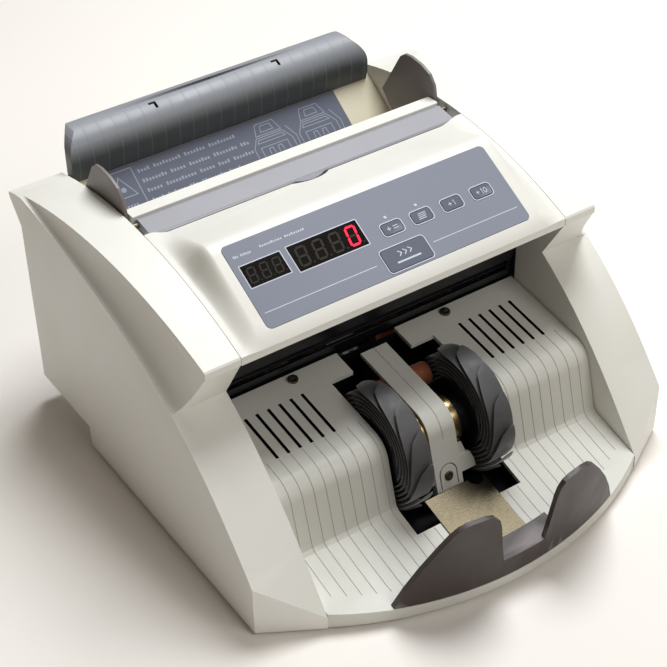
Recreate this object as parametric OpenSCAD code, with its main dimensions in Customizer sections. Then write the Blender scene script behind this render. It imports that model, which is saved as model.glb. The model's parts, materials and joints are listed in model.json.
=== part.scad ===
// Banknote counting machine: moulded casing, note hopper, feed and stacker mechanism.
// Millimetres, +Z up, -Y is the front. X is across the machine, mirrored about X = 0.

/* [Casing] */
// Overall width over the two side housings
case_w = 270; // [268:1:272]
// Half-width of the middle covers and trays between the side housings
mid_half = 102.7; // [102.2:0.1:102.8]
// Height of the casing's bottom edge above the surface it stands on
floor_gap = 2; // [1.5:0.1:2.2]
// Height of the top of the white caps along the sides
cap_top = 150.4; // [149.8:0.2:151]
// Radius of the caps' long arch, seen from the side
cap_r = 289; // [285:1:295]
// Wall thickness of the mouldings
wall = 2.5; // [2.2:0.1:2.8]

/* [Control panel] */
// Width of the grey label panel
label_w = 166; // [160:1:168]
// Length of the label panel, measured up its slope
label_h = 50; // [49:0.5:51]
// Tilt of the label panel
panel_tilt = 27.8; // [27.5:0.1:28]
// Width and height of the four small keys
key_w = 12; // [10:0.5:13]
key_h = 6.8; // [6:0.2:8]
// Width and height of the start key
start_w = 27; // [24:1:28]
start_h = 13; // [11:1:14]
// Clearance around each key
key_gap = 0.3; // [0.25:0.05:0.4]

/* [Stacker] */
// Radius of the stacker wheels
wheel_r = 36.6; // [36:0.2:37]
// Width of each stacker wheel
wheel_w = 13.6; // [13:0.2:13.8]
// Number of leaves on a stacker wheel
leaf_n = 12; // [10:1:14]
// Turn of a leaf from its root to its tip
leaf_sweep = 175; // [160:5:180]
// Spacing of the ventilation slots in the stacker plate
slot_pitch = 7.1; // [7:0.1:7.2]
// Height of the note stop at the front
stop_top = 60; // [59:0.5:61]

/* [Feed rollers] */
// Radius of the feed rollers
feed_r = 20; // [19.5:0.1:20]
// Radius of the pickup rollers under the hopper plate
pickup_r = 15; // [14.5:0.1:15]
// Radius of the transport rollers at the exit
transport_r = 14; // [13:0.5:14]
// Radius of the free-turning pressure rollers
idle_r = 6; // [5.5:0.1:6]
// Radius of every shaft
shaft_r = 4; // [3.8:0.1:4.2]
// Running clearance of a shaft in its bushes
run_gap = 0.05; // [0.03:0.01:0.08]

/* [Hopper] */
// Pitch angle of the hopper plate
hopper_tilt = 35; // [34.5:0.1:35.5]
// Radius of the rolled top of the hopper back
back_r = 15.7; // [15:0.1:16]

/* [Hidden] */
$fn = 48;

case_half = case_w / 2;
seam_x = 103;                       // inner face of the side housings
front_r = 198.5;                    // plan radius of the front edge
front_cy = 51.9;                    // centre of that arc
stop_r = front_r - 0.4;             // radius of the note stop's front face at its foot
stop_foot_z = 7.4;
stop_lean = 4.5;                    // how far that face leans forward at the top
stop_nose = [19.5, 55];             // (x, z) of the foremost points of the two wings
back_edge_y = 158;                  // rearmost edge of the hopper back
nose_r = stop_r + stop_lean * (stop_nose[1] - stop_foot_z) / (stop_top - stop_foot_z);
front_edge_y = front_cy - sqrt(pow(nose_r, 2) - pow(stop_nose[0], 2));
mid_y = (front_edge_y + back_edge_y) / 2;
step_y = 73.6;                      // where the underside steps up at the rear
step_z = 15.4;
rear_y = 130;                       // rear face of the casing
lip_y = -47;                        // front edge of the cover and of the cap noses
lip_z = 130.4;
cap_mid_y = 59;                     // where the caps are highest

cream = [0.93, 0.92, 0.87];
shade_grey = [0.62, 0.62, 0.66];
dark_grey = [0.27, 0.29, 0.30];
mauve = [0.42, 0.38, 0.40];
steel = [0.72, 0.73, 0.75];
brass = [0.80, 0.66, 0.36];
black = [0.06, 0.06, 0.08];
rubber = [0.13, 0.13, 0.15];

// Side ridge: the long curve where the outer face meets the scooped shoulder, as (y, z)
ridge_p = [[-104, 28], [-41, 107.5], [7.5, 125.5], [125, 143]];
crease_t = 0.40;                    // where the ridge curve passes under the nose
function bez(p, t) = pow(1 - t, 3) * p[0] + 3 * pow(1 - t, 2) * t * p[1]
    + 3 * (1 - t) * t * t * p[2] + pow(t, 3) * p[3];
function cap_z(y) = cap_top - cap_r + sqrt(cap_r * cap_r - pow(y - cap_mid_y, 2));
// Outer edge of the white cap, which drifts outwards towards the rear
function cap_edge(y) = 123.6 + 9.9 * (y + 45) / 187;

// Shaft axes, as (y, z)
stacker_at = [-61.4, 43.4];
transport_at = [18, 48];
feed_at = [62, 76];
pickup_at = [103.7, 93.9];
motor_at = [50, 32];
nip = 0.3;                          // gap left for a note between two rollers
idle_at = feed_at + (feed_r + idle_r + nip) * [cos(200), sin(200)];
retard_r = 8;
retard_at = feed_at + (feed_r + retard_r + nip) * [cos(115), sin(115)];
roller_x = [-62, -22, 22, 62];      // middles of the roller tyres along X
roller_w = 14;

frame_x = 106.2;                    // inner face of the metal frame plates
frame_t = 1.6;
bush_flange = 1.2;
pulley_x = 113;                     // inner face of the pulleys
pulley_w = 5;
belt_t = 1.2;
belt_gap = 0.3;

// Stacker plate: upper slope, bend, riser and floor
plate_slope = 7.2;
riser_angle = 74.5;
bend_at = [-61.75, 45.85];
bend_r = 14;
plate_rear_y = -5.5;
function plate_arc(a) = bend_at + bend_r * [cos(a), sin(a)];
bend_a0 = 90 + plate_slope;
bend_a1 = 90 + riser_angle;
plate_rear_z = plate_arc(bend_a0)[1] + (plate_rear_y - plate_arc(bend_a0)[0]) * tan(plate_slope);
plate_line = concat(
    [[plate_rear_y, plate_rear_z]],
    [for (i = [0 : 10]) plate_arc(bend_a0 + (bend_a1 - bend_a0) * i / 10)],
    [[-82.2, 24.2], [-83.3, 21.4], [-85.5, 19.6], [-100, 15.7], [-118, 11.4], [-132, 9.4], [-150, 7.8]]);

// Hopper plate: a straight slope down to the feed rollers, as (y, z)
hopper_low = [77.2, 92];
hopper_len = 76;
hopper_dir = [cos(hopper_tilt), sin(hopper_tilt)];
hopper_line = [hopper_low + hopper_len * hopper_dir, hopper_low];

// ---------- helpers ----------

// Extrudes a (y, z) outline along X
module along_x(x0, x1) {
    translate([x0, 0, 0]) rotate([90, 0, 90]) linear_extrude(x1 - x0) children();
}

module both_sides() {
    children();
    mirror([1, 0, 0]) children();
}

// A rod along X centred on a (y, z) point
module rod(at, r, x0, x1) {
    translate([x0, at[0], at[1]]) rotate([0, 90, 0]) cylinder(r = r, h = x1 - x0);
}

// Unit normal of a polyline at point i, to the left of its direction
function dir_at(p, i) = let (a = p[max(i - 1, 0)], b = p[min(i + 1, len(p) - 1)], d = b - a) d / norm(d);
function shifted(p, t) = [for (i = [0 : len(p) - 1]) let (d = dir_at(p, i)) p[i] + t * [-d[1], d[0]]];
function reversed(p) = [for (i = [len(p) - 1 : -1 : 0]) p[i]];

// A sheet of thickness t that follows the polyline p
module sheet(p, t) polygon(concat(p, reversed(shifted(p, t))));

module rounded(w, h, r) {
    for (m = [-1, 1]) {
        translate([m * (w / 2 - r), h / 2 - r]) circle(r = r);
        translate([m * (w / 2 - r), r - h / 2]) circle(r = r);
    }
    square([w - 2 * r, h], center = true);
    square([w, h - 2 * r], center = true);
}

// Local frame of the control panel: X across, Y up the slope, Z out of the panel
panel_at = [0, -41.4, 135.2];
module on_panel() translate(panel_at) rotate([panel_tilt, 0, 0]) children();

// Local frame of the hopper plate, at its lower end
module on_hopper() translate([0, hopper_low[0], hopper_low[1]]) rotate([hopper_tilt, 0, 0]) children();

// Plan outline of the machine between the side housings, shrunk by d
module front_plan(d, half) {
    intersection() {
        translate([0, front_cy]) circle(r = front_r - d, $fn = 180);
        translate([-half, -160]) square([2 * half, 160]);
    }
}

// ---------- casing ----------

module side_profile() {
    toe = [-118.6, 9.6];
    polygon(concat(
        [[-118.6, floor_gap], toe],
        [for (t = [0 : 0.05 : crease_t]) bez(ridge_p, t)],
        [[lip_y + 1, lip_z - 5.6], [lip_y, lip_z - 4.6], [lip_y, lip_z - 0.8]],
        [for (y = [lip_y + 0.8 : 8 : 137]) [y, cap_z(y)]],
        [[140, cap_z(140)], [141, cap_z(141) - 1.2], [140, cap_z(141) - 4], [rear_y, 121.5],
         [rear_y, step_z], [step_y, step_z], [step_y, floor_gap]]));
}

// Cross-section, at station t of the ridge, of what is scooped away above the shoulder
shoulder_n = 12;
function shoulder_ring(t) = let (p = bez(ridge_p, t), y = p[0], top = cap_z(y), out = case_half + 6,
    a = case_half - cap_edge(y), b = max(0.4, top - p[1]))
    concat([[out, y, top + 20], [out, y, top - b]],
        [for (i = [0 : shoulder_n]) [case_half - a * sin(90 * i / shoulder_n), y,
            top - b * cos(90 * i / shoulder_n)]],
        [[case_half - a, y, top + 20]]);
module shoulder_scoop() {
    t0 = 0.25;
    stations = 24;
    m = shoulder_n + 4;
    rings = [for (k = [0 : stations]) shoulder_ring(t0 + (1 - t0) * k / stations)];
    // The last ring is repeated further back, past the rear edge
    ends = concat(rings, [[for (q = rings[stations]) q + [0, 30, -6]]]);
    polyhedron([for (r = ends) each r], concat(
        [[for (i = [0 : m - 1]) i]],
        [[for (i = [m - 1 : -1 : 0]) (stations + 1) * m + i]],
        [for (k = [0 : stations], i = [0 : m - 1]) let (j = (i + 1) % m) each [
            [k * m + i, (k + 1) * m + i, (k + 1) * m + j], [k * m + i, (k + 1) * m + j, k * m + j]]]));
}

module side_cavity() {
    skin = 3;
    along_x(seam_x + 2.2, case_half - skin) polygon(concat(
        [[-95, -1]],
        [for (t = [0.08 : 0.08 : 1]) bez(ridge_p, t) - [0, 4.5]],
        [[rear_y - skin, 120], [rear_y - skin, step_z + skin], [step_y - skin, step_z + skin],
         [step_y - skin, -1]]));
    along_x(seam_x + 2.2, 119.5) polygon(concat(
        [[-24, 80], [-24, 99], [lip_y + 6, 126]],
        [for (y = [lip_y + 6 : 12 : 124]) [y, cap_z(y) - 3.5]],
        [[rear_y - skin, 130], [rear_y - skin, 110]]));
}

module side_housing() {
    difference() {
        intersection() {
            along_x(seam_x, case_half) side_profile();
            linear_extrude(200) polygon([[seam_x, -118.6], [104, -118], [case_half, -100],
                [case_half, 160], [seam_x, 160]]);
        }
        shoulder_scoop();
        side_cavity();
        // The base pan slips in under the inner wall
        translate([seam_x - 1, -95, -1]) cube([case_half - 3 - seam_x + 1, step_y - 3 + 95, 6.5]);
        translate([seam_x - 1, step_y - 3, step_z - 1]) cube([case_half - 3 - seam_x + 1, 56.4, 5.5]);
        // Open inner side, behind the covers and below the hopper
        along_x(seam_x - 1, seam_x + 4) polygon([[-8, 5], [72, 5], [72, 19], [126, 19], [126, 106],
            [78, 74], [70, 130], [-8, 122]]);
        for (at = [stacker_at, pickup_at]) rod(at, 9, seam_x - 1, seam_x + 4);
        for (at = tie_at) rod(at, 4.5, seam_x - 1, seam_x + 4);
    }
}

module right_side_housing() color(cream) side_housing();
module left_side_housing() color(cream) mirror([1, 0, 0]) side_housing();

module base_pan() {
    in = 1.5;
    color(cream) difference() {
        union() {
            translate([0, 0, floor_gap]) linear_extrude(wall) {
                front_plan(4.5, mid_half - 1.5);
                translate([-case_half + 3.4, -94.5]) square([case_w - 6.8, step_y - 3.5 + 94.5]);
            }
            along_x(-case_half + 3.4, case_half - 3.4) polygon([[step_y - 6, floor_gap],
                [step_y - 3.5, floor_gap], [step_y - 3.5, step_z], [rear_y - 3.4, step_z],
                [rear_y - 3.4, step_z + wall], [step_y - 6, step_z + wall]]);
        }
        for (x = [-96, 96], y = [-88, 56]) translate([x, y, 0]) cylinder(r = 2, h = 8);
        for (x = [-foot_x, foot_x], y = foot_ys) translate([x, y, 0]) cylinder(r = 3, h = 8);
        for (x = [-40 : 8 : 40]) translate([x - in, 20, 0]) cube([2 * in, 36, 8]);
    }
}

foot_x = 112;
foot_ys = [-80, 58];
module rubber_feet() {
    color(rubber) for (x = [-foot_x, foot_x], y = foot_ys) translate([x, y, 0]) {
        cylinder(r1 = 8, r2 = 9, h = floor_gap);
        cylinder(r = 3, h = floor_gap + wall);
    }
}

module base_screws() {
    color(steel) for (x = [-96, 96], y = [-88, 56]) translate([x, y, floor_gap - 1]) {
        difference() {
            cylinder(r = 3.4, h = 1);
            translate([-0.5, -2.2, -0.1]) cube([1, 4.4, 0.7]);
            translate([-2.2, -0.5, -0.1]) cube([4.4, 1, 0.7]);
        }
        cylinder(r = 1.95, h = 6);
    }
}

// ---------- control cover ----------

crest_soft = 1.2;                   // softness of the cover's crest
flap_y0 = 45.9;                     // front edge of the guide flap
function slope_front(y) = panel_at[2] + (y - panel_at[1]) * tan(panel_tilt);
function slope_rear(y) = 146.7 - 0.351 * (y - flap_y0);
function crest_z(y) = let (a = slope_front(y), b = slope_rear(y))
    (a + b) / 2 - sqrt(pow((a - b) / 2, 2) + crest_soft * crest_soft);
// The lip curls down over its last few millimetres
function lip_drop(y) = let (u = max(0, (panel_at[1] + 0.8 - y) / (panel_at[1] + 0.8 - lip_y))) 2.6 * u * u;
function side_ease(x) = let (u = min(1, max(0, (abs(x) - 88) / 12))) 1 - u * u * (3 - 2 * u);
function cover_z(x, y) = cap_z(y) + (crest_z(y) - lip_drop(y) - cap_z(y)) * side_ease(x);

cover_xs = concat([for (x = [-102.7 : 1.47 : -88]) x], [-44, 0, 44], [for (x = [88 : 1.47 : 102.8]) x]);
cover_ys = concat([-47, -46, -44.6, -43, -41.4, -36], [for (y = [-24 : 8 : 0]) y],
    [for (y = [2 : 2 : 14]) y], [for (y = [20 : 6.5 : 46]) y]);

// Solid under the cover's surface: dx, dy shrink it in plan, dz lowers its top
module cover_block(dx, dy, dz, z0) {
    y0 = cover_ys[0] + dy;
    y1 = cover_ys[len(cover_ys) - 1] - dy;
    ys = concat([y0], [for (y = cover_ys) if (y > y0 + 0.5 && y < y1 - 0.5) y], [y1]);
    nx = len(cover_xs);
    ny = len(ys);
    kx = (mid_half - dx) / cover_xs[nx - 1];
    top = [for (y = ys, x = cover_xs) [x * kx, y, cover_z(x, y) - dz]];
    low = [for (y = ys, x = cover_xs) [x * kx, y, z0]];
    n = nx * ny;
    function at(i, j) = j * nx + i;
    polyhedron(concat(top, low), concat(
        [for (j = [0 : ny - 2], i = [0 : nx - 2]) each [
            [at(i, j), at(i, j + 1), at(i + 1, j + 1)], [at(i, j), at(i + 1, j + 1), at(i + 1, j)]]],
        [for (j = [0 : ny - 2], i = [0 : nx - 2]) each [
            [n + at(i, j), n + at(i + 1, j + 1), n + at(i, j + 1)],
            [n + at(i, j), n + at(i + 1, j), n + at(i + 1, j + 1)]]],
        [for (i = [0 : nx - 2]) each [
            [at(i, 0), at(i + 1, 0), n + at(i + 1, 0)], [at(i, 0), n + at(i + 1, 0), n + at(i, 0)],
            [at(i, ny - 1), n + at(i + 1, ny - 1), at(i + 1, ny - 1)],
            [at(i, ny - 1), n + at(i, ny - 1), n + at(i + 1, ny - 1)]]],
        [for (j = [0 : ny - 2]) each [
            [at(0, j), n + at(0, j + 1), at(0, j + 1)], [at(0, j), n + at(0, j), n + at(0, j + 1)],
            [at(nx - 1, j), at(nx - 1, j + 1), n + at(nx - 1, j + 1)],
            [at(nx - 1, j), n + at(nx - 1, j + 1), n + at(nx - 1, j)]]]));
}

key_v = 25;                         // height of the small keys' row up the panel
key_xs = [7.6, 26.5, 46.3, 66];
start_at = [6.3, 8.4];
small_disp = [-67.4, 30.1, 23.8, 13];   // x, v, width, height of the window
large_disp = [-30, 29.4, 42.6, 15.5];

module key_shape(i, grow) {
    translate([key_xs[i], key_v]) rounded(key_w + 2 * grow, key_h + 2 * grow, 1.6 + grow);
}
module start_shape(grow) {
    translate(start_at) rounded(start_w + 2 * grow, start_h + 2 * grow, 1.6 + grow);
}
module window_shape(d, grow) {
    translate([d[0], d[1]]) square([d[2] + 2 * grow, d[3] + 2 * grow], center = true);
}

flap_half = 98.3;
flap_y1 = 63.2;
strip_y1 = 73.4;
strip_half = 99.6;
notch_half = 17;
flap_pin_at = [60.2, 146.6];
pin_r = 1.5;

module control_cover() {
    color(cream) difference() {
        union() {
            difference() {
                intersection() {
                    cover_block(0, 0, 0, 120);
                    along_x(-110, 110) polygon([[lip_y - 1, lip_z - 5], [lip_y + 6, lip_z - 5],
                        [flap_y0, 138], [flap_y0, 170], [lip_y - 1, 170]]);
                }
                cover_block(wall, wall, wall, 110);
                // Finger notch in the edge above the flap
                translate([0, flap_y0 + 12, 130]) cylinder(r = notch_half, h = 40);
            }
            // Side arms and the rear strip frame the flap; the strip's wall is the hopper's front
            both_sides() translate([flap_half + 0.7, flap_y0 - 3, 138])
                cube([mid_half - flap_half - 0.7, flap_y1 + 3.1 - flap_y0 + 3, 5]);
            along_x(-mid_half, mid_half) polygon([[flap_y1 + 0.6, 112], [flap_y1 + 0.6, 143],
                [flap_y1 + 3.1, 143], [flap_y1 + 3.1, 112]]);
            along_x(-strip_half, strip_half) polygon([[flap_y1 + 0.6, 142], [flap_y1 + 0.6, 149.6],
                [flap_y1 + 1.2, 150], [strip_y1 - 1, 149.6], [strip_y1, 148.8], [strip_y1, 112],
                [strip_y1 - 2, 112], [strip_y1 - 2, 142]]);
        }
        // Recess for the label, and the openings under the keys and windows
        on_panel() {
            translate([0, label_h / 2, -0.7]) linear_extrude(4) rounded(label_w + 0.4, label_h + 0.4, 3.2);
            translate([0, 0, -8]) linear_extrude(9) {
                for (i = [0 : 3]) key_shape(i, key_gap);
                start_shape(key_gap);
                window_shape(small_disp, 0.2);
                window_shape(large_disp, 0.2);
            }
        }
        // Bores of the flap's pins
        rod(flap_pin_at, pin_r, -mid_half - 1, mid_half + 1);
    }
}

module control_label() {
    color([0.56, 0.57, 0.63]) on_panel() translate([0, 0, -0.7]) linear_extrude(0.8) difference() {
        translate([0, label_h / 2]) rounded(label_w, label_h, 3);
        for (i = [0 : 3]) key_shape(i, key_gap);
        start_shape(key_gap);
        window_shape(small_disp, 0.1);
        window_shape(large_disp, 0.1);
    }
}

module display_window(d) on_panel() translate([0, 0, -2.6]) linear_extrude(2.6) window_shape(d, 0);
module display_windows() color(black) {
    display_window(small_disp);
    display_window(large_disp);
}

module small_key(i) {
    color([0.42, 0.44, 0.50]) on_panel() {
        translate([0, 0, -2.5]) linear_extrude(3) key_shape(i, 0);
        translate([key_xs[i], key_v, -6]) cylinder(r = 2, h = 4);
    }
}
module key_add() small_key(0);
module key_batch() small_key(1);
module key_plus_one() small_key(2);
module key_plus_ten() small_key(3);
module key_start() {
    color([0.42, 0.44, 0.50]) on_panel() {
        translate([0, 0, -2.5]) linear_extrude(3) start_shape(0);
        translate([start_at[0], start_at[1], -6]) cylinder(r = 2, h = 4);
    }
}

// Circuit board under the panel, with the two display blocks and the key switches on it
module display_board() {
    board_z = -11.6;
    color([0.10, 0.36, 0.22]) on_panel() {
        translate([-82, 0, board_z]) cube([160, 42, 1.6]);
        for (d = [small_disp, large_disp])
            translate([d[0] - d[2] / 2 + 0.6, d[1] - d[3] / 2 + 0.6, board_z + 1.5])
                cube([d[2] - 1.2, d[3] - 1.2, -2.8 - board_z - 1.5]);
        for (p = concat([for (x = key_xs) [x, key_v]], [start_at]))
            translate([p[0] - 3, p[1] - 3, board_z + 1.5]) cube([6, 6, 3.2]);
    }
}

// ---------- guide flap ----------

// The flap's rear is round about its pins, so that it can swing up past the strip
flap_end_r = 3.1;
flap_front_z = 146.9;
module guide_flap() {
    lip_r = notch_half - 1.6;
    color(shade_grey) difference() {
        union() {
            along_x(-flap_half, flap_half) {
                translate(flap_pin_at) circle(r = flap_end_r);
                polygon([[flap_y0 + 0.4, flap_front_z], [flap_y0 + 1.4, flap_front_z + 0.9],
                    flap_pin_at + [-0.7, 3.02], flap_pin_at + [0, -flap_end_r], [flap_y0 + 3, 143.4],
                    [flap_y0 + 0.4, 144.6]]);
            }
            // The lip swells forward into the finger notch
            intersection() {
                translate([0, flap_y0 + 12.6, 143.6]) cylinder(r = lip_r, h = 3.6);
                translate([-lip_r, flap_y0 - 5, 140]) cube([2 * lip_r, 10, 12]);
            }
        }
        rod(flap_pin_at, pin_r + run_gap, -flap_half - 1, flap_half + 1);
    }
}

module flap_pins() {
    color(steel) both_sides() rod(flap_pin_at, pin_r, flap_half - 8, mid_half - 0.1);
}

// ---------- hopper ----------

module hopper_plate() {
    cut = 0.8;
    color(cream) difference() {
        along_x(-mid_half, mid_half) sheet(hopper_line, wall);
        for (x = roller_x) translate([x, pickup_at[0], pickup_at[1]]) rotate([0, 90, 0])
            cylinder(r = pickup_r + cut, h = roller_w + 2 * cut, center = true);
        translate([-60, 0, 0]) on_hopper() translate([0, 52, -9]) cylinder(r = 2, h = 12);
        translate([60, 0, 0]) on_hopper() translate([0, 52, -9]) cylinder(r = 2, h = 12);
    }
}

module hopper_label() {
    color([0.42, 0.44, 0.52]) on_hopper() translate([-88, 36, 0]) cube([163, 34.2, 0.5]);
}

// The rolled back rest: its front wall rises from the hopper plate, rolls over and
// comes down behind as a skirt that returns above the rear cover
back_t = 2.2;
back_front_y = 133;
back_foot = [[135.1, 131.5], [133.2, 139.2]];   // the front wall leans forward above its foot
back_roll_at = [back_front_y + back_r, 144];
back_tip_a = 54;                    // where the roll ends, measured from the horizontal
back_steps = 21;
back_skirt = [[back_edge_y - 0.4, 152.6], [153.6, 145], [151.2, 137.5], [149.8, 131],
    [146.5, 127.6], [131, 123.2]];
back_mouth = [[128, 124.6], [128, 126.1]];      // opens the shrunk outline forwards, in the plate
// Outline shrunk by d
function back_outline(d) = concat(
    [back_foot[0] + (d > 0 ? [d, 1.1] : [0, 0]), back_foot[1] + [d, 0]],
    [for (i = [0 : back_steps]) let (a = 180 - (180 - back_tip_a) * i / back_steps)
        back_roll_at + (back_r - d) * [cos(a), sin(a)]],
    shifted(back_skirt, -d), d > 0 ? back_mouth : []);
module back_front_view(half, top, r) {
    for (m = [-1, 1]) translate([m * (half - r), top - r]) circle(r = r, $fn = 72);
    translate([r - half, 0]) square([2 * (half - r), top]);
    translate([-half, 0]) square([2 * half, top - r]);
}
module back_solid(d) {
    half = 99.5 - d;
    intersection() {
        along_x(-100, 100) polygon(back_outline(d));
        translate([0, 200, 0]) rotate([90, 0, 0]) linear_extrude(100)
            back_front_view(half, back_roll_at[1] + back_r + 0.3 - d, 14);
        // In plan it narrows towards the rear
        translate([0, 0, 100]) linear_extrude(80) both_sides() polygon([[-1, 110], [half, 110],
            [half, 140], [half - 1.4, 143], [half - 5, 148.5], [half - 11, back_edge_y], [-1, back_edge_y]]);
    }
}
module hopper_back() {
    color(dark_grey) difference() {
        back_solid(0);
        back_solid(back_t);
        // It stands on the hopper plate's upper end
        along_x(-110, 110) sheet(shifted([hopper_low + (hopper_len + 0.4) * hopper_dir, hopper_low], -0.15),
            wall + 0.3);
        for (x = [-41, 41]) {
            translate([x - 2.3, 144.2, 150]) cube([4.6, 1.5, 20]);
            translate([x + 0.6, 141.1, 150]) cube([1.7, 4.6, 20]);
        }
    }
}

// Side guides: flat fins fixed to the hopper's side walls
guide_outline = [[67.2, 130], [66.8, 149], [68.6, 158], [73.2, 163.6], [81, 166.2], [91, 167],
    [97, 166], [101.4, 162.6], [119.2, 133], [112, 125.4], [100, 117], [84, 106.5], [80, 110]];
guide_x = 100.2;
module note_guide() {
    along_x(guide_x, guide_x + 2) polygon(guide_outline);
    for (at = [[82, 124], [102, 132]]) rod(at, 3, guide_x + 1, seam_x);
}
module right_note_guide() color(mauve) note_guide();
module left_note_guide() color(mauve) mirror([1, 0, 0]) note_guide();

// ---------- stacker ----------

slot_x0 = 52.7;
opening_x = 34.7;
floor_open_y = -101.8;
channel_x = 19.5;
open_rear_y = -21.6;

module stacker_plate() {
    color(cream) difference() {
        union() {
            intersection() {
                along_x(-mid_half, mid_half) sheet(plate_line, wall);
                linear_extrude(100) front_plan(0, mid_half);
            }
            // Front skirt
            intersection() {
                translate([0, 0, floor_gap]) linear_extrude(20) difference() {
                    front_plan(0, mid_half);
                    front_plan(wall, mid_half + 1);
                }
                along_x(-mid_half, mid_half) polygon(concat([[-160, 0], [-100, 0]],
                    [[-100, 15.7], [-118, 11.4], [-132, 9.4], [-150, 7.8], [-160, 7.8]]));
                translate([-mid_half, -160, 0]) cube([2 * mid_half, 50, 20]);
            }
        }
        both_sides() {
            for (i = [0 : 5]) translate([slot_x0 + i * slot_pitch - 0.9, -52.7, 40]) cube([1.8, 31.4, 40]);
            translate([51.1, -10.5, 50]) cylinder(r = 2.2, h = 30);
        }
        translate([-opening_x, floor_open_y, 0]) cube([2 * opening_x, open_rear_y - floor_open_y, 90]);
        translate([-channel_x, open_rear_y - 1, 40]) cube([2 * channel_x, 40, 60]);
    }
}

strap_half = 8.6;
strap_rear_y = -13;
strap_t = wall - 0.3;
strap_foot = [-84.7, 16.9];
strap_line = concat([[strap_rear_y, plate_rear_z + (strap_rear_y - plate_rear_y) * tan(plate_slope)]],
    [for (i = [0 : 10]) plate_arc(bend_a0 + (bend_a1 - bend_a0) * i / 10)], [strap_foot]);
tab_at = [-82.2, 24.6];             // the tab's origin, on the riser
tab_half = 5.2;
tab_top = 6.6;                      // above the tab's origin, along the riser
tab_screw = -0.5;
tab_front = 1.2;
exit_at = [-36, 56];                // axis of the small rollers carried under the strap
exit_r = 6.5;
exit_shaft_r = 2;
module centre_strap() {
    base_top = floor_gap + wall + 0.02;
    color(cream) difference() {
        union() {
            along_x(-strap_half, strap_half) sheet(shifted(strap_line, -0.4), strap_t);
            // Foot that stands on the base pan, with a raised tab
            along_x(-strap_half, strap_half) polygon([[-84.4, 19.4], strap_foot, [-85.2, 13],
                [-85.2, base_top], [-80.4, base_top], [-80.4, 24]]);
            strap_tab(-0.5, tab_front) tab_outline();
            // Shoulders beside the foot, each with a gusset above it
            both_sides() strap_tab(-3.6, 2.6) polygon([[strap_half - 1, -3], [19.2, -3], [18.6, 2],
                [16.6, 6.8], [strap_half - 1, 6.8]]);
            both_sides() difference() {
                strap_tab(-4.6, 2)
                    polygon([[strap_half - 1, 4], [16, 4], [10.4, 22], [strap_half - 1, 22]]);
                rod(stacker_at, hub_disc_r + 0.7, 0, 30);
            }
            both_sides() along_x(5, strap_half - 0.4)
                polygon([[-41.5, 61.2], [-30.5, 62.6], [-32.5, 52.4], [-39.5, 52.4]]);
        }
        strap_tab(-8, 8 + tab_front - 1.1) translate([0, tab_screw]) circle(r = 1.6);
        strap_tab(tab_front - 1.1, 9) translate([0, tab_screw]) circle(r = 3);
        rod(exit_at, exit_shaft_r + run_gap, -20, 20);
    }
}
// Extrudes an outline that lies on the riser's face, from z0 outwards
module strap_tab(z0, t) {
    translate(concat(0, tab_at)) rotate([riser_angle, 0, 0]) translate([0, 0, z0])
        linear_extrude(t) children();
}
module tab_outline() {
    translate([0, tab_top - tab_half]) circle(r = tab_half);
    translate([-tab_half, -8]) square([2 * tab_half, tab_top - tab_half + 8]);
}
module exit_rollers() {
    color([0.70, 0.38, 0.16]) {
        rod(exit_at, exit_shaft_r, -19, 19);
        both_sides() rod(exit_at, exit_r, strap_half + 0.8, 19);
    }
}
module cross_screw(r, head_h, shank) {
    difference() {
        cylinder(r = r, h = head_h);
        translate([-0.35, 1.3 - r, head_h - 0.75]) cube([0.7, 2 * r - 2.6, 2]);
        translate([1.3 - r, -0.35, head_h - 0.75]) cube([2 * r - 2.6, 0.7, 2]);
    }
    translate([0, 0, -shank]) cylinder(r = 1.5, h = shank + 0.2);
}
// One in the strap, two in the upper part of the stacker plate
module tray_screws() color(steel) {
    translate(concat(0, tab_at)) rotate([riser_angle, 0, 0])
        translate([0, tab_screw, tab_front - 1.08]) cross_screw(2.5, 1.2, 6);
    both_sides() translate([51.1, -10.5, 66.5]) rotate([plate_slope, 0, 0]) cross_screw(3, 1.4, 7);
}

module sensor_plate() {
    color(brass) difference() {
        along_x(-19.6, 19.6)
            sheet(shifted([[-87.4, 19.1], [-100, 15.7], [-118, 11.4], [-131, 9.6]], -0.9), 0.8);
        translate([14, -87.4, 0]) cylinder(r = 5, h = 40);
    }
}

// Front view of the note stop: two tall wings and a low bar between them
stop_wing = [[13, 7.6], [13.6, 22], [15, 30], [18, 50], stop_nose, [22.5, 58.6], [27, stop_top],
    [36, stop_top], [41.5, 58.4], [46, 54.6], [52, 47], [60, 35], [67, 22], [73, 7.6]];
// The leaning wall, as a cone whose radius at the foot is r
module stop_cone(r, from, to) translate([0, front_cy, from])
    cylinder(r1 = r, r2 = r + stop_lean, h = to - from, $fn = 180);
module note_stop() {
    color(mauve) difference() {
        union() {
            intersection() {
                rotate([90, 0, 0]) linear_extrude(200) union() {
                    polygon(stop_wing);
                    mirror([1, 0]) polygon(stop_wing);
                    translate([-16, 7.6]) square([32, 13.9]);
                }
                difference() {
                    stop_cone(stop_r, stop_foot_z, stop_top);
                    stop_cone(stop_r - 3, stop_foot_z - 0.1, stop_top + 0.1);
                }
            }
            // Ledge behind the low bar
            intersection() {
                translate([-26, -160, 7.6]) cube([52, 30, 13.9]);
                difference() {
                    translate([0, front_cy, 0]) cylinder(r = stop_r - 1.2, h = 40, $fn = 180);
                    translate([0, front_cy, -1]) cylinder(r = stop_r - 13, h = 60, $fn = 180);
                }
            }
        }
        // Its foot follows the plate, and clears the sensor plate
        along_x(-90, 90)
            polygon([[-160, 0], [-100, 0], [-100, 15.8], [-118, 11.5], [-132, 9.5], [-160, 7.1]]);
        translate([-20, -134, 0]) cube([40, 10, 11.6]);
    }
}

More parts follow.
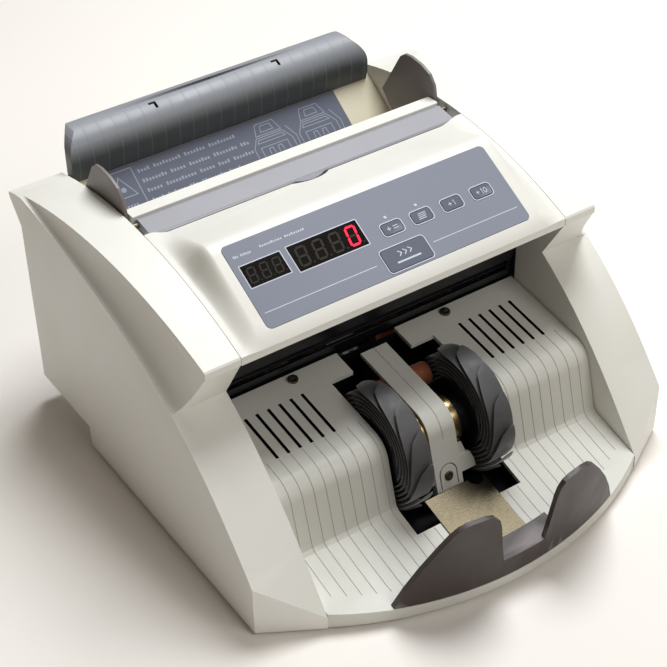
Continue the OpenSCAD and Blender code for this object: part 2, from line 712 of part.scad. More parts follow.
// One wheel: a core with trailing curved leaves, drawn as a single outline
hub_r = 21.3;                       // radius of the core that carries the leaves
boss_r = 11.6;
hub_disc_r = 14.8;
wheel_in_x = 20;                    // inner face of the leaves
hub_out_x = 13.4;                   // outer face of the brass disc
leaf_t = 1;
leaf_steps = 12;
function leaf_a(r) = -leaf_sweep * (r - hub_r) / (wheel_r - hub_r);
// Half of a leaf's thickness at radius r, as an angle
function leaf_half(r) = let (k = leaf_sweep * PI / 180 / (wheel_r - hub_r))
    leaf_t / 2 * (r > wheel_r - 1 ? 0.3 : 1) * sqrt(1 + pow(r * k, 2)) / r * 180 / PI;
function leaf_pt(i, k, side) = let (r = hub_r + (wheel_r - hub_r) * k / leaf_steps,
    a = i * 360 / leaf_n + leaf_a(r) + side * leaf_half(r)) [r * cos(a), r * sin(a)];
module stacker_wheel() {
    difference() {
        rod(stacker_at, boss_r, hub_out_x + 0.02, wheel_in_x + 0.1);
        rod(stacker_at, shaft_r, hub_out_x - 1, wheel_in_x + 1);
    }
    translate(concat(wheel_in_x, stacker_at)) rotate([90, 0, 90]) linear_extrude(wheel_w) difference() {
        polygon([for (i = [0 : leaf_n - 1]) each concat(
            [for (k = [0 : leaf_steps]) leaf_pt(i, k, -1)],
            [for (k = [leaf_steps : -1 : 0]) leaf_pt(i, k, 1)])]);
        circle(r = shaft_r);
    }
}
module right_stacker_wheel() color(rubber) stacker_wheel();
module left_stacker_wheel() color(rubber) mirror([1, 0, 0]) stacker_wheel();

module stacker_shaft() color(steel) rod(stacker_at, shaft_r, -frame_x - 5, pulley_x + pulley_w + 1);

module wheel_hubs() {
    color(brass) both_sides() difference() {
        rod(stacker_at, hub_disc_r, strap_half + 0.4, hub_out_x);
        rod(stacker_at, shaft_r, strap_half - 1, hub_out_x + 1);
    }
}

// A shaft's pulley outside the right frame plate
module pulley(at, r, x0) {
    difference() {
        union() {
            rod(at, r, x0, x0 + pulley_w);
            rod(at, r + 1.6, x0 - 0.8, x0);
            rod(at, r + 1.6, x0 + pulley_w, x0 + pulley_w + 0.8);
        }
        rod(at, shaft_r, x0 - 3, x0 + pulley_w + 3);
    }
}
second_x = pulley_x + pulley_w + 2.6;
stacker_pulley_r = 15;
transport_pulley_r = 8;
feed_pulley_r = 12;
pickup_pulley_r = 12;
motor_pulley_r = 8;

module stacker_pulley() color(dark_grey) pulley(stacker_at, stacker_pulley_r, pulley_x);
module transport_pulley() {
    color(dark_grey) {
        pulley(transport_at, transport_pulley_r, pulley_x);
        pulley(transport_at, transport_pulley_r, second_x);
    }
}
module feed_pulley() {
    color(dark_grey) {
        pulley(feed_at, feed_pulley_r, pulley_x);
        pulley(feed_at, feed_pulley_r, second_x);
    }
}
module pickup_pulley() color(dark_grey) pulley(pickup_at, pickup_pulley_r, pulley_x);
module motor_pulley() {
    color(steel) {
        pulley(motor_at, motor_pulley_r, second_x);
        rod(motor_at, shaft_r, frame_x - 3, second_x + pulley_w + 1);
    }
}

// ---------- shafts and rollers ----------

module roller_set(at, r, w) {
    for (x = roller_x) difference() {
        rod(at, r, x - w / 2, x + w / 2);
        rod(at, shaft_r, x - w, x + w);
    }
}
module feed_shaft() color(steel) rod(feed_at, shaft_r, -frame_x - 5, second_x + pulley_w + 1);
module feed_rollers() color([0.45, 0.20, 0.12]) roller_set(feed_at, feed_r, roller_w);
module pickup_shaft() color(steel) rod(pickup_at, shaft_r, -frame_x - 5, pulley_x + pulley_w + 1);
module pickup_rollers() color(rubber) roller_set(pickup_at, pickup_r, roller_w);
module transport_shaft() color(steel) rod(transport_at, shaft_r, -frame_x - 5, second_x + pulley_w + 1);
module transport_rollers() color([0.70, 0.38, 0.16]) roller_set(transport_at, transport_r, roller_w);

// Free-turning rollers on a fixed rod, pressed towards the feed rollers
module pressure_rollers() {
    color(rubber) for (x = roller_x) difference() {
        rod(idle_at, idle_r, x - 5, x + 5);
        rod(idle_at, 2 + run_gap, x - 6, x + 6);
    }
}
module pressure_rod() color(steel) rod(idle_at, 2, -frame_x + 0.2, frame_x - 0.2);
module retard_rollers() {
    color(rubber) for (x = [-22, 22]) difference() {
        rod(retard_at, retard_r, x - 6, x + 6);
        rod(retard_at, 2.5, x - 8, x + 8);
    }
}
bracket_top = 124;
bracket_t = 2;
gap_screw_y = 48;
module retard_bracket() {
    y1 = retard_at[0] + 3;
    y0 = retard_at[0] - 14;
    color(steel) difference() {
        union() {
            rod(retard_at, 2.5, -34, 34);
            both_sides() along_x(30, 32) polygon([retard_at + [-5, -5], retard_at + [5, -5],
                retard_at + [5, 8], [y1, bracket_top], [y0, bracket_top], retard_at + [-14, 12]]);
            along_x(-32, 32) polygon([[y1, bracket_top - bracket_t], [y1, bracket_top], [y0, bracket_top],
                [y0, bracket_top - bracket_t]]);
            rod([retard_at[0] - 9, 119.9], 2.2, -frame_x + 0.2, frame_x - 0.2);
        }
        translate([0, gap_screw_y, 100]) cylinder(r = 2 + run_gap, h = 40);
    }
}
// Thumbscrew under the flap that sets the feed gap
module gap_screw() {
    knurls = 14;
    color(brass) translate([0, gap_screw_y, 0]) {
        translate([0, 0, 112]) cylinder(r = 2, h = 20);
        translate([0, 0, bracket_top + 1]) difference() {
            cylinder(r = 5.5, h = 8);
            for (i = [0 : knurls - 1])
                rotate(i * 360 / knurls) translate([5.7, 0, -1]) cylinder(r = 0.6, h = 10);
        }
    }
}

// Bushes pressed in the frame plates
turning = [stacker_at, transport_at, feed_at, pickup_at];
module shaft_bushes() {
    color(brass) both_sides() for (at = turning) difference() {
        union() {
            rod(at, shaft_r + 2.5, frame_x - bush_flange, frame_x + frame_t + 1.2);
            rod(at, shaft_r + 4, frame_x - bush_flange, frame_x - 0.02);
        }
        rod(at, shaft_r + run_gap, frame_x - 3, frame_x + frame_t + 3);
    }
}

frame_outline = [[-72, 8], [66, 8], [66, 19.5], [125.5, 19.5], [125.5, 112.5], [70, 112.5], [62, 134],
    [34, 134], [-6, 112], [-8, 92], [-50, 58], [-72, 52]];
module frame_plate() {
    along_x(frame_x, frame_x + frame_t) difference() {
        polygon(frame_outline);
        for (at = turning) translate(at) circle(r = shaft_r + 2.5);
        translate(motor_at) circle(r = 9);
        for (p = tie_at) translate(p) circle(r = 1.6);
        translate([-16, 24]) square([20, 26]);
        translate([84, 30]) square([26, 34]);
    }
}
tie_at = [[-20.5, 34], [0, 94], [104, 66], [120, 108]];
module right_frame_plate() color(steel) frame_plate();
module left_frame_plate() color(steel) mirror([1, 0, 0]) frame_plate();

module tie_rods() {
    color(black) for (p = tie_at) {
        rod(p, 3, -frame_x + 0.02, frame_x - 0.02);
        rod(p, 1.55, -frame_x - frame_t - 2, frame_x + frame_t + 2);
        both_sides() rod(p, 3.2, frame_x + frame_t + 0.02, frame_x + frame_t + 2.4);
    }
}

// Dark guide that leads the notes out over the stacker wheels
module exit_guide() {
    color(black) {
        along_x(-mid_half + 0.4, mid_half - 0.4) sheet([[24, 92], [12, 84], [0, 77.6], [-4, 75.6]], 2);
        along_x(-mid_half + 0.4, mid_half - 0.4) sheet([[2, 62.4], [-3, 69.6], [-3.4, 73.4]], 2);
        // Guard that closes the dark space between the exit and the cover
        along_x(-mid_half + 0.4, mid_half - 0.4) sheet([[-14.5, 127.6], [-9, 98], [-6, 80]], 1.5);
        for (x = [-101, 99.4]) along_x(x, x + 1.6)
            polygon([[-2, 62], [26, 74], [26, 94], [12, 86], [-2, 80], [-5.5, 98], [-11, 127.5],
                [-14.4, 127.5], [-9, 98], [-6, 80], [-5, 74]]);
    }
}

// ---------- drive and electrics ----------

module main_motor() {
    color(steel) difference() {
        union() {
            rod(motor_at, 20, 42, frame_x - 0.02);
            rod(motor_at, 8.8, frame_x - 0.1, frame_x + frame_t + 0.6);
            rod(motor_at, 8, 36, 42.1);
        }
        rod(motor_at, shaft_r + 0.3, frame_x - 4, frame_x + 4);
    }
}

// A belt runs round its pulleys in order, anticlockwise: each is [place, radius]
function run_normal(p, q) = let (d = q[0] - p[0], u = d / norm(d), s = (p[1] - q[1]) / norm(d))
    u * s + sqrt(1 - s * s) * [u[1], -u[0]];
function belt_loop(ps, grow) = let (n = len(ps)) [for (i = [0 : n - 1])
    let (from = run_normal(ps[(i + n - 1) % n], ps[i]), to = run_normal(ps[i], ps[(i + 1) % n]),
        a = atan2(from[1], from[0]), turn = (atan2(to[1], to[0]) - a + 720) % 360,
        steps = ceil(turn / 9))
    for (k = [0 : steps]) let (b = a + turn * k / steps) ps[i][0] + (ps[i][1] + grow) * [cos(b), sin(b)]];
module belt(ps, x0) {
    along_x(x0 + 0.5, x0 + pulley_w - 0.5) difference() {
        polygon(belt_loop(ps, belt_gap + belt_t));
        polygon(belt_loop(ps, belt_gap));
    }
}
module drive_belts() {
    feed_p = [feed_at, feed_pulley_r];
    transport_p = [transport_at, transport_pulley_r];
    color(black) {
        belt([feed_p, [pickup_at, pickup_pulley_r]], pulley_x);
        belt([[stacker_at, stacker_pulley_r], transport_p], pulley_x);
        belt([feed_p, transport_p, [motor_at, motor_pulley_r]], second_x);
    }
}

module power_supply() {
    color([0.35, 0.36, 0.38]) translate([-92, 66, 22.4]) {
        cube([62, 40, 30]);
        translate([10, -4, 4]) cube([42, 48, 22]);
    }
    color([0.35, 0.36, 0.38]) for (x = [-86, -36]) translate([x - 3, 72, step_z + wall + 0.02])
        cube([6, 30, 22.4 - step_z - wall]);
}

module main_board() {
    color([0.08, 0.30, 0.18]) {
        difference() {
            translate([-98, -30, 9]) cube([120, 84, 1.6]);
            for (x = [-94, 18], y = [-26, 50]) translate([x, y, 5]) cylinder(r = 1.6, h = 9);
        }
        for (p = [[-70, 0, 14, 14, 2.4], [-40, 10, 20, 8, 3], [-84, 30, 10, 10, 14], [-30, 34, 24, 6, 8],
            [0, -10, 8, 30, 7], [-86, -20, 30, 6, 8]])
            translate([p[0], p[1], 10.55]) cube([p[2], p[3], p[4]]);
        for (x = [-94, 18], y = [-26, 50]) translate([x, y, floor_gap + wall + 0.02])
            cylinder(r = 1.5, h = 7.6);
    }
}

// ---------- rear ----------

rear_top_z = 122.3;
inlet_at = [-62, 42];
switch_at = [-26, 42];
module rear_cover() {
    color(cream) difference() {
        along_x(-mid_half, mid_half) translate([rear_y - 2.9, step_z + wall + 0.4])
            square([wall, rear_top_z - step_z - wall - 0.4]);
        for (x = [14 : 6 : 86]) translate([x, rear_y - 4, 34]) cube([2.4, 5, 36]);
        translate([inlet_at[0] - 13.6, rear_y - 4, inlet_at[1] - 10]) cube([27.2, 5, 20]);
        translate([switch_at[0] - 6.6, rear_y - 4, switch_at[1] - 9.8]) cube([13.2, 5, 19.6]);
        for (x = [-92, 92], z = [30, 116]) translate([x, rear_y, z]) rotate([90, 0, 0])
            cylinder(r = 1.6, h = 5);
    }
}

module power_inlet() {
    color(black) translate([inlet_at[0], rear_y - 0.36, inlet_at[1]]) rotate([-90, 0, 0]) {
        difference() {
            union() {
                linear_extrude(2) rounded(32, 24, 3);
                translate([-13.4, -9.8, -16]) cube([26.8, 19.6, 16.2]);
            }
            translate([0, 0, -13]) linear_extrude(20) polygon([[-12, -8], [12, -8], [12, 4],
                [8, 8], [-8, 8], [-12, 4]]);
        }
        for (p = [[-7, 1], [7, 1], [0, -3]]) translate([p[0] - 1, p[1] - 2, -13.2]) cube([2, 4, 11]);
    }
}

module power_switch() {
    color(black) translate([switch_at[0], rear_y - 0.36, switch_at[1]]) rotate([-90, 0, 0]) difference() {
        union() {
            linear_extrude(1.6) rounded(15, 21.6, 1);
            translate([-6.4, -9.6, -12]) cube([12.8, 19.2, 12.2]);
        }
        translate([-5, -8, -8]) cube([10, 16, 20]);
        translate([-8, 0, -2.5]) rotate([0, 90, 0]) cylinder(r = 1.2, h = 16);
    }
}

module power_rocker() {
    color([0.55, 0.08, 0.08]) translate([switch_at[0], rear_y - 0.36 - 2.5, switch_at[1]])
        rotate([-8, 0, 0]) rotate([0, 90, 0]) {
        translate([0, 0, -4.6]) linear_extrude(9.2)
            polygon([[-7.2, 0], [7.2, 0], [7.2, 3.6], [0, 2.6], [-7.2, 3.6]]);
        translate([0, 0, -6.2]) cylinder(r = 1.15, h = 12.4);
        translate([0, 0, -4.6]) linear_extrude(9.2) polygon([[-3, -3], [3, -3], [4, 0.5], [-4, 0.5]]);
    }
}

// The machine is drawn about its casing, then moved so that the origin is under its middle
module placed() translate([0, -mid_y, 0]) children();

placed() base_pan();
placed() left_side_housing();
placed() right_side_housing();
placed() control_cover();
placed() control_label();
placed() display_windows();
placed() display_board();
placed() key_add();
placed() key_batch();
placed() key_plus_one();
placed() key_plus_ten();
placed() key_start();
placed() stacker_plate();
placed() centre_strap();
placed() tray_screws();
placed() sensor_plate();
placed() note_stop();
placed() exit_guide();
placed() exit_rollers();
placed() left_stacker_wheel();
placed() right_stacker_wheel();
placed() stacker_shaft();
placed() wheel_hubs();
placed() stacker_pulley();
placed() transport_shaft();
placed() transport_rollers();
placed() transport_pulley();
placed() feed_shaft();
placed() feed_rollers();
placed() feed_pulley();
placed() pickup_shaft();
placed() pickup_rollers();
placed() pickup_pulley();
placed() pressure_rollers();
placed() pressure_rod();
placed() retard_rollers();
placed() retard_bracket();
placed() gap_screw();
placed() shaft_bushes();
placed() left_frame_plate();
placed() right_frame_plate();
placed() tie_rods();
placed() main_motor();
placed() motor_pulley();
placed() drive_belts();
placed() power_supply();
placed() main_board();
placed() hopper_plate();
placed() hopper_label();
placed() hopper_back();
placed() left_note_guide();
placed() right_note_guide();
placed() guide_flap();
placed() flap_pins();
placed() rear_cover();
placed() power_inlet();
placed() power_switch();
placed() power_rocker();
placed() rubber_feet();
placed() base_screws();
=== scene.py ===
"""Looks of a banknote counting machine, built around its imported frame.

Lengths are in metres; MM turns millimetres into metres.
Places come from the frame's own nodes and joints.
"""
import json
import math

import bmesh
import bpy
from mathutils import Matrix, Vector
from mathutils.bvhtree import BVHTree


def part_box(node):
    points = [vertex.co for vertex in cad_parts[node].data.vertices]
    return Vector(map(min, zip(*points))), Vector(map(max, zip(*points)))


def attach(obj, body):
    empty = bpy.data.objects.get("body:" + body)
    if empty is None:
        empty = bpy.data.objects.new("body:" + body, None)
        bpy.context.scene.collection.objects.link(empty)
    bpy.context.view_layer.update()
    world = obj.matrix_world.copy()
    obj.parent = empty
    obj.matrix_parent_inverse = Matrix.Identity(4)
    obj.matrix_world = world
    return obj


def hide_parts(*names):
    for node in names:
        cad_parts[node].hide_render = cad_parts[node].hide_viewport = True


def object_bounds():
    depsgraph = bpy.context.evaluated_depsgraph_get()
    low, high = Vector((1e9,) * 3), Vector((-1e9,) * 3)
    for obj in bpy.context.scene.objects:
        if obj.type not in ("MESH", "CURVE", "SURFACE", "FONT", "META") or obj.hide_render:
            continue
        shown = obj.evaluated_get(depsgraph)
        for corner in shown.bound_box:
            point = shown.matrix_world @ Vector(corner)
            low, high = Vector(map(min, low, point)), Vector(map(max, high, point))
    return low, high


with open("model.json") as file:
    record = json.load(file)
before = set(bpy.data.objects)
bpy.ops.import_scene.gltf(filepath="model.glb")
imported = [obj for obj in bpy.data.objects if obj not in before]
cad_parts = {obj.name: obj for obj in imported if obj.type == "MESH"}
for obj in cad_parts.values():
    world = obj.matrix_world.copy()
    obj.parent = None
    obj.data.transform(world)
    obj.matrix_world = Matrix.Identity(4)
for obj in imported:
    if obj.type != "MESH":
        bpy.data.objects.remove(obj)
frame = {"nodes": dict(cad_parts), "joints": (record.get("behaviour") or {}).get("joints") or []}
CAD_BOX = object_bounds()
NODES = frame["nodes"]
MM = 0.001
CASING = "casing"


def joint_place(name):
    """A point on a joint's axis."""
    for joint in frame["joints"]:
        if joint["name"] == name:
            return Vector(joint["pos_m"])
    raise KeyError(name)


# ---------------------------------------------------------------- camera

CAMERA_AZIMUTH = math.radians(-33.65)
CAMERA_ELEVATION = math.radians(38.36)
CAMERA_ROLL = math.radians(-1.10)
CAMERA_PLACE = Vector((-0.4235, -0.61444, 0.6562))
CAMERA_LENS = 92.6


def make_camera():
    data = bpy.data.cameras.new("camera")
    data.lens = CAMERA_LENS
    data.sensor_width = 36
    data.clip_start = 0.05
    camera = bpy.data.objects.new("camera", data)
    bpy.context.scene.collection.objects.link(camera)
    sin_a, cos_a = math.sin(CAMERA_AZIMUTH), math.cos(CAMERA_AZIMUTH)
    sin_e, cos_e = math.sin(CAMERA_ELEVATION), math.cos(CAMERA_ELEVATION)
    back = Vector((sin_a * cos_e, -cos_a * cos_e, sin_e))
    turn = (-back).to_track_quat("-Z", "Y").to_matrix().to_4x4()
    camera.matrix_world = Matrix.Translation(CAMERA_PLACE) @ turn @ Matrix.Rotation(CAMERA_ROLL, 4, "Z")
    bpy.context.scene.camera = camera


# ---------------------------------------------------------------- stage and light

SKY_COLOUR, SKY_STRENGTH = (1.0, 0.9, 0.78, 1), 0.13
LIGHT_TARGET = (0, 0, 0.08)
LIGHTS = (                          # name, place, disc size, watts, colour
    ("overhead", (0.42, 0.3, 1.3), 0.8, 18, (0.95, 0.98, 1.0)),
    ("front_fill", (0.3, -1.2, 1.3), 1.0, 7.5, (1.0, 0.99, 0.97)),
)
FLOOR_HALF = 6
FLOOR_DROP = 0.05                   # the floor lies this far under the feet, in millimetres


def area_light(name, place, size, power, colour):
    data = bpy.data.lights.new(name, "AREA")
    data.shape = "DISK"
    data.size = size
    data.energy = power
    data.color = colour
    light = bpy.data.objects.new(name, data)
    light.location = place
    light.rotation_mode = "QUATERNION"
    light.rotation_quaternion = (Vector(LIGHT_TARGET) - Vector(place)).to_track_quat("-Z", "Y")
    bpy.context.scene.collection.objects.link(light)


def make_stage():
    world = bpy.data.worlds.new("studio")
    world.use_nodes = True
    sky = world.node_tree.nodes["Background"]
    sky.inputs["Color"].default_value = SKY_COLOUR
    sky.inputs["Strength"].default_value = SKY_STRENGTH
    bpy.context.scene.world = world
    bpy.context.scene.view_settings.view_transform = "Standard"

    for light in LIGHTS:
        area_light(*light)

    mesh = bpy.data.meshes.new("floor")
    corners = [(x * FLOOR_HALF, y * FLOOR_HALF, 0) for x, y in ((-1, -1), (1, -1), (1, 1), (-1, 1))]
    mesh.from_pydata(corners, [], [(0, 1, 2, 3)])
    floor = bpy.data.objects.new("floor", mesh)
    floor.location.z = CAD_BOX[0].z - FLOOR_DROP * MM
    bpy.context.scene.collection.objects.link(floor)
    floor.data.materials.append(floor_material())


# ---------------------------------------------------------------- materials

def rgb(red, green, blue):
    """An sRGB colour, 0 to 255, as a linear one."""
    def linear(c):
        c /= 255
        return c / 12.92 if c <= 0.04045 else ((c + 0.055) / 1.055) ** 2.4
    return (linear(red), linear(green), linear(blue), 1)


SCRATCH_DEPTH = 0.012               # of the lines in bare metal
RIB_PITCH, RIB_PHASE = 9.12, -3.3   # of the ribs across the back rest


class Surface:
    """A material with a Principled shader, and short calls for the nodes that feed it."""

    def __init__(self, name, **sockets):
        self.mat = bpy.data.materials.new(name)
        self.mat.use_nodes = True
        self.tree = self.mat.node_tree
        self.shader = self.tree.nodes["Principled BSDF"]
        self.heights = []
        self.place = self.node("ShaderNodeTexCoord").outputs["Object"]
        for socket, value in sockets.items():
            self.shader.inputs[socket.replace("_", " ")].default_value = value

    def node(self, kind, **settings):
        made = self.tree.nodes.new(kind)
        for key, value in settings.items():
            setattr(made, key, value)
        return made

    def link(self, a, b):
        self.tree.links.new(a, b)

    def noise(self, scale, detail=3, stretch=(1, 1, 1), rough=0.55):
        mapping = self.node("ShaderNodeMapping")
        mapping.inputs["Scale"].default_value = stretch
        self.link(self.place, mapping.inputs["Vector"])
        tex = self.node("ShaderNodeTexNoise")
        tex.inputs["Scale"].default_value = scale
        tex.inputs["Detail"].default_value = detail
        tex.inputs["Roughness"].default_value = rough
        self.link(mapping.outputs["Vector"], tex.inputs["Vector"])
        return tex.outputs["Fac"]

    def spread(self, value, low, high, out_low, out_high):
        """Maps a value from one range to another."""
        made = self.node("ShaderNodeMapRange")
        ends = {"From Min": low, "From Max": high, "To Min": out_low, "To Max": out_high}
        for key, number in ends.items():
            made.inputs[key].default_value = number
        self.link(value, made.inputs["Value"])
        return made.outputs["Result"]

    def sum_of(self, operation, value, number):
        made = self.node("ShaderNodeMath", operation=operation)
        self.link(value, made.inputs[0])
        made.inputs[1].default_value = number
        return made.outputs[0]

    def stripes(self, pitch, phase, width):
        """1 on thin lines that repeat along X, 0 between them; lengths in millimetres."""
        split = self.node("ShaderNodeSeparateXYZ")
        self.link(self.place, split.inputs[0])
        shifted = self.sum_of("ADD", split.outputs["X"], (pitch / 2 - phase) * MM)
        along = self.sum_of("FLOORED_MODULO", shifted, pitch * MM)
        off = self.sum_of("ABSOLUTE", self.sum_of("SUBTRACT", along, pitch / 2 * MM), 0)
        return self.spread(off, width * 0.3 * MM, width * 0.6 * MM, 1, 0)

    def blend(self, factor, a, b):
        made = self.node("ShaderNodeMix", data_type="RGBA")
        self.link(factor, made.inputs["Factor"])
        for socket, value in ((made.inputs["A"], a), (made.inputs["B"], b)):
            if isinstance(value, tuple):
                socket.default_value = value
            else:
                self.link(value, socket)
        return made.outputs["Result"]

    def colour(self, output):
        self.link(output, self.shader.inputs["Base Color"])

    def rough(self, output):
        self.link(output, self.shader.inputs["Roughness"])

    def bump(self, height, depth, strength=1.0):
        """Adds a bump of that depth in metres."""
        made = self.node("ShaderNodeBump")
        made.inputs["Strength"].default_value = strength
        made.inputs["Distance"].default_value = depth
        self.link(height, made.inputs["Height"])
        if self.heights:
            self.link(self.heights[-1].outputs["Normal"], made.inputs["Normal"])
        self.heights.append(made)
        self.link(made.outputs["Normal"], self.shader.inputs["Normal"])


def moulded(name, colour, shade, roughness, grain=1500, depth=0.03, patches=9, specular=0.5):
    """Moulded plastic: soft patches of tone, a fine spark-eroded texture and uneven gloss."""
    s = Surface(name, IOR=1.49)
    s.shader.inputs["Specular IOR Level"].default_value = specular
    tone = s.noise(patches, 4)
    fine = s.noise(grain, 2)
    s.colour(s.blend(s.spread(tone, 0.35, 0.7, 0, 1), colour, shade))
    s.rough(s.spread(s.noise(55, 5), 0.3, 0.7, roughness - 0.05, roughness + 0.07))
    s.bump(fine, depth * MM, 0.55)
    return s


def edge_wear_and_highlight(s, colour, amount=0.35):
    """Lightens the raised edges of a surface towards another colour: partly rubbed wear, partly a
    painted highlight along the edges.
    """
    point = s.node("ShaderNodeNewGeometry").outputs["Pointiness"]
    # Pointiness picks out raised edges; the paler colour there is part wear, part painted highlight.
    edge = s.spread(point, 0.52, 0.6, 0, amount)
    base = s.shader.inputs["Base Color"].links[0].from_socket
    s.colour(s.blend(edge, base, colour))
    return s


def darker(colour, factor):
    return tuple(c * factor for c in colour[:3]) + (1,)


def metal(name, colour, roughness, stretch=(1, 1, 1), scale=900):
    """Bare metal with fine drawn or turned lines along the directions that stretch leaves long."""
    s = Surface(name, Metallic=1.0)
    lines = s.noise(scale, 3, stretch)
    s.colour(s.blend(s.spread(s.noise(40, 4), 0.3, 0.7, 0, 1), colour, darker(colour, 0.82)))
    s.rough(s.spread(lines, 0.3, 0.7, roughness - 0.06, roughness + 0.1))
    s.bump(lines, SCRATCH_DEPTH * MM, 0.5)
    return s


def floor_material():
    s = Surface("floor_paper", Roughness=0.85)
    s.colour(s.blend(s.spread(s.noise(3, 3), 0.3, 0.7, 0, 1), rgb(254, 249, 243), rgb(253, 247, 240)))
    return s.mat


def back_rest():
    """Ribbed dark plastic, painted paler where it faces up: a painted highlight from the light above."""
    s = moulded("back_rest_plastic", rgb(82, 87, 90), rgb(76, 81, 84), 0.42, grain=1100, depth=0.04)
    split = s.node("ShaderNodeSeparateXYZ")
    s.link(s.node("ShaderNodeNewGeometry").outputs["Normal"], split.inputs[0])
    # Painted light: faces that look up are blended towards a paler grey, as if lit from above.
    painted_top_light = s.spread(split.outputs["Z"], 0.1, 0.95, 0, 1)
    base = s.shader.inputs["Base Color"].links[0].from_socket
    base = s.blend(painted_top_light, base, rgb(150, 152, 158))
    ribs = s.stripes(RIB_PITCH, RIB_PHASE, 0.9)
    s.colour(s.blend(s.spread(ribs, 0, 1, 0, 0.18), base, rgb(150, 156, 158)))
    s.bump(ribs, 0.12 * MM, 0.7)
    return s.mat


def rubber(name, colour, shade, roughness=0.62, sheen=0.25):
    s = Surface(name, IOR=1.5, Sheen_Weight=sheen, Sheen_Roughness=0.4)
    s.colour(s.blend(s.spread(s.noise(60, 5), 0.35, 0.7, 0, 1), colour, shade))
    s.rough(s.spread(s.noise(180, 4), 0.3, 0.7, roughness - 0.08, roughness + 0.1))
    s.bump(s.noise(900, 3), 0.02 * MM, 0.6)
    return s.mat


def glowing(name, colour, strength):
    s = Surface(name, Roughness=0.35, Specular_IOR_Level=0)
    s.colour(s.blend(s.spread(s.noise(900, 2), 0.3, 0.7, 0, 1), colour, darker(colour, 0.85)))
    s.shader.inputs["Emission Color"].default_value = colour
    s.shader.inputs["Emission Strength"].default_value = strength
    return s.mat


def make_materials():
    cream = rgb(238, 236, 229)
    cream_shade = rgb(231, 228, 218)
    made = {}
    made["cream"] = edge_wear_and_highlight(moulded("cream_plastic", cream, cream_shade, 0.42),
                               rgb(248, 247, 242)).mat
    made["tray"] = moulded("tray_plastic", rgb(222, 221, 213), rgb(214, 212, 202), 0.5,
                           grain=1300, depth=0.04).mat
    # Painted shade: the cut walls of grooves take this colour, darker than the tray.
    made["groove_painted_shade"] = moulded("groove_plastic_painted_shade", rgb(206, 203, 192), rgb(198, 194, 182), 0.6,
                             grain=1300).mat
    # Painted shade: the hopper plate is cream plastic given a darker, yellower colour for the shadow it
    # lies in.
    made["hopper"] = moulded("hopper_plastic", rgb(216, 208, 184), rgb(206, 197, 170), 0.5).mat
    made["label"] = moulded("panel_overlay", rgb(141, 145, 158), rgb(136, 140, 153), 0.5,
                            grain=2600, depth=0.01, specular=0.12).mat
    made["key"] = edge_wear_and_highlight(
        moulded("key_overlay", rgb(98, 102, 117), rgb(92, 96, 111), 0.45,
                grain=2600, depth=0.01, specular=0.15),
        rgb(150, 155, 168), 0.5).mat
    made["window"] = moulded("window_acrylic", rgb(30, 26, 25), rgb(26, 23, 22), 0.16,
                             depth=0.002, patches=20, specular=0.03).mat
    made["segment"] = moulded("unlit_segment", rgb(58, 55, 46), rgb(52, 50, 42), 0.4,
                              depth=0.004, specular=0.05).mat
    made["lit"] = glowing("lit_segment", (1.0, 0.03, 0.07, 1), 1.1)
    made["print"] = moulded("pale_print", rgb(206, 210, 220), rgb(196, 200, 212), 0.45, depth=0.004).mat
    made["hopper_print"] = moulded("label_print", rgb(158, 164, 178), rgb(148, 154, 168), 0.45,
                                   depth=0.004, specular=0.1).mat
    made["board"] = moulded("solder_mask", rgb(28, 92, 56), rgb(22, 78, 48), 0.32, depth=0.01).mat
    made["instruction"] = moulded("instruction_overlay", rgb(106, 110, 124), rgb(100, 104, 118), 0.5,
                                  depth=0.01, specular=0.1).mat
    made["flap"] = edge_wear_and_highlight(moulded("flap_plastic", rgb(151, 150, 156), rgb(144, 143, 149), 0.42),
                              rgb(196, 196, 202), 0.5).mat
    made["hopper_dark"] = back_rest()
    made["mauve"] = edge_wear_and_highlight(moulded("stop_plastic", rgb(60, 49, 47), rgb(54, 44, 42), 0.42),
                               rgb(140, 130, 130), 0.6).mat
    made["fin"] = edge_wear_and_highlight(moulded("guide_plastic", rgb(128, 121, 117), rgb(120, 113, 109), 0.42),
                             rgb(150, 142, 145), 0.5).mat
    made["black"] = moulded("black_plastic", rgb(24, 25, 31), rgb(18, 19, 24), 0.36).mat
    # Near-black sheet for painted shade: in the wheel well, under the slots and on the slots' walls.
    made["shade_sheet"] = moulded("painted_shade_sheet", rgb(12, 13, 18), rgb(9, 10, 14), 0.6, specular=0.2).mat
    made["rubber"] = rubber("paddle_rubber", rgb(84, 83, 84), rgb(74, 73, 74), 0.5, 0.5)
    made["tyre"] = rubber("roller_rubber", rgb(160, 90, 58), rgb(146, 80, 50))
    made["belt"] = rubber("belt_rubber", rgb(32, 32, 34), rgb(26, 26, 28))
    made["steel"] = metal("turned_steel", rgb(196, 197, 200), 0.3, stretch=(30, 1, 1)).mat
    made["sheet"] = metal("zinc_sheet", rgb(176, 179, 182), 0.42, scale=120).mat
    made["screw"] = metal("screw_metal", rgb(122, 112, 98), 0.36, scale=500).mat
    made["plate"] = metal("sensor_brass", rgb(80, 73, 59), 0.3, stretch=(1, 24, 1), scale=400).mat
    made["brass"] = metal("polished_brass", rgb(222, 196, 140), 0.2, stretch=(1, 24, 1)).mat
    made["red"] = moulded("rocker_plastic", rgb(150, 28, 26), rgb(138, 24, 22), 0.25, depth=0.008).mat
    return made


MATERIALS = {}


# ---------------------------------------------------------------- modifiers for the CAD nodes

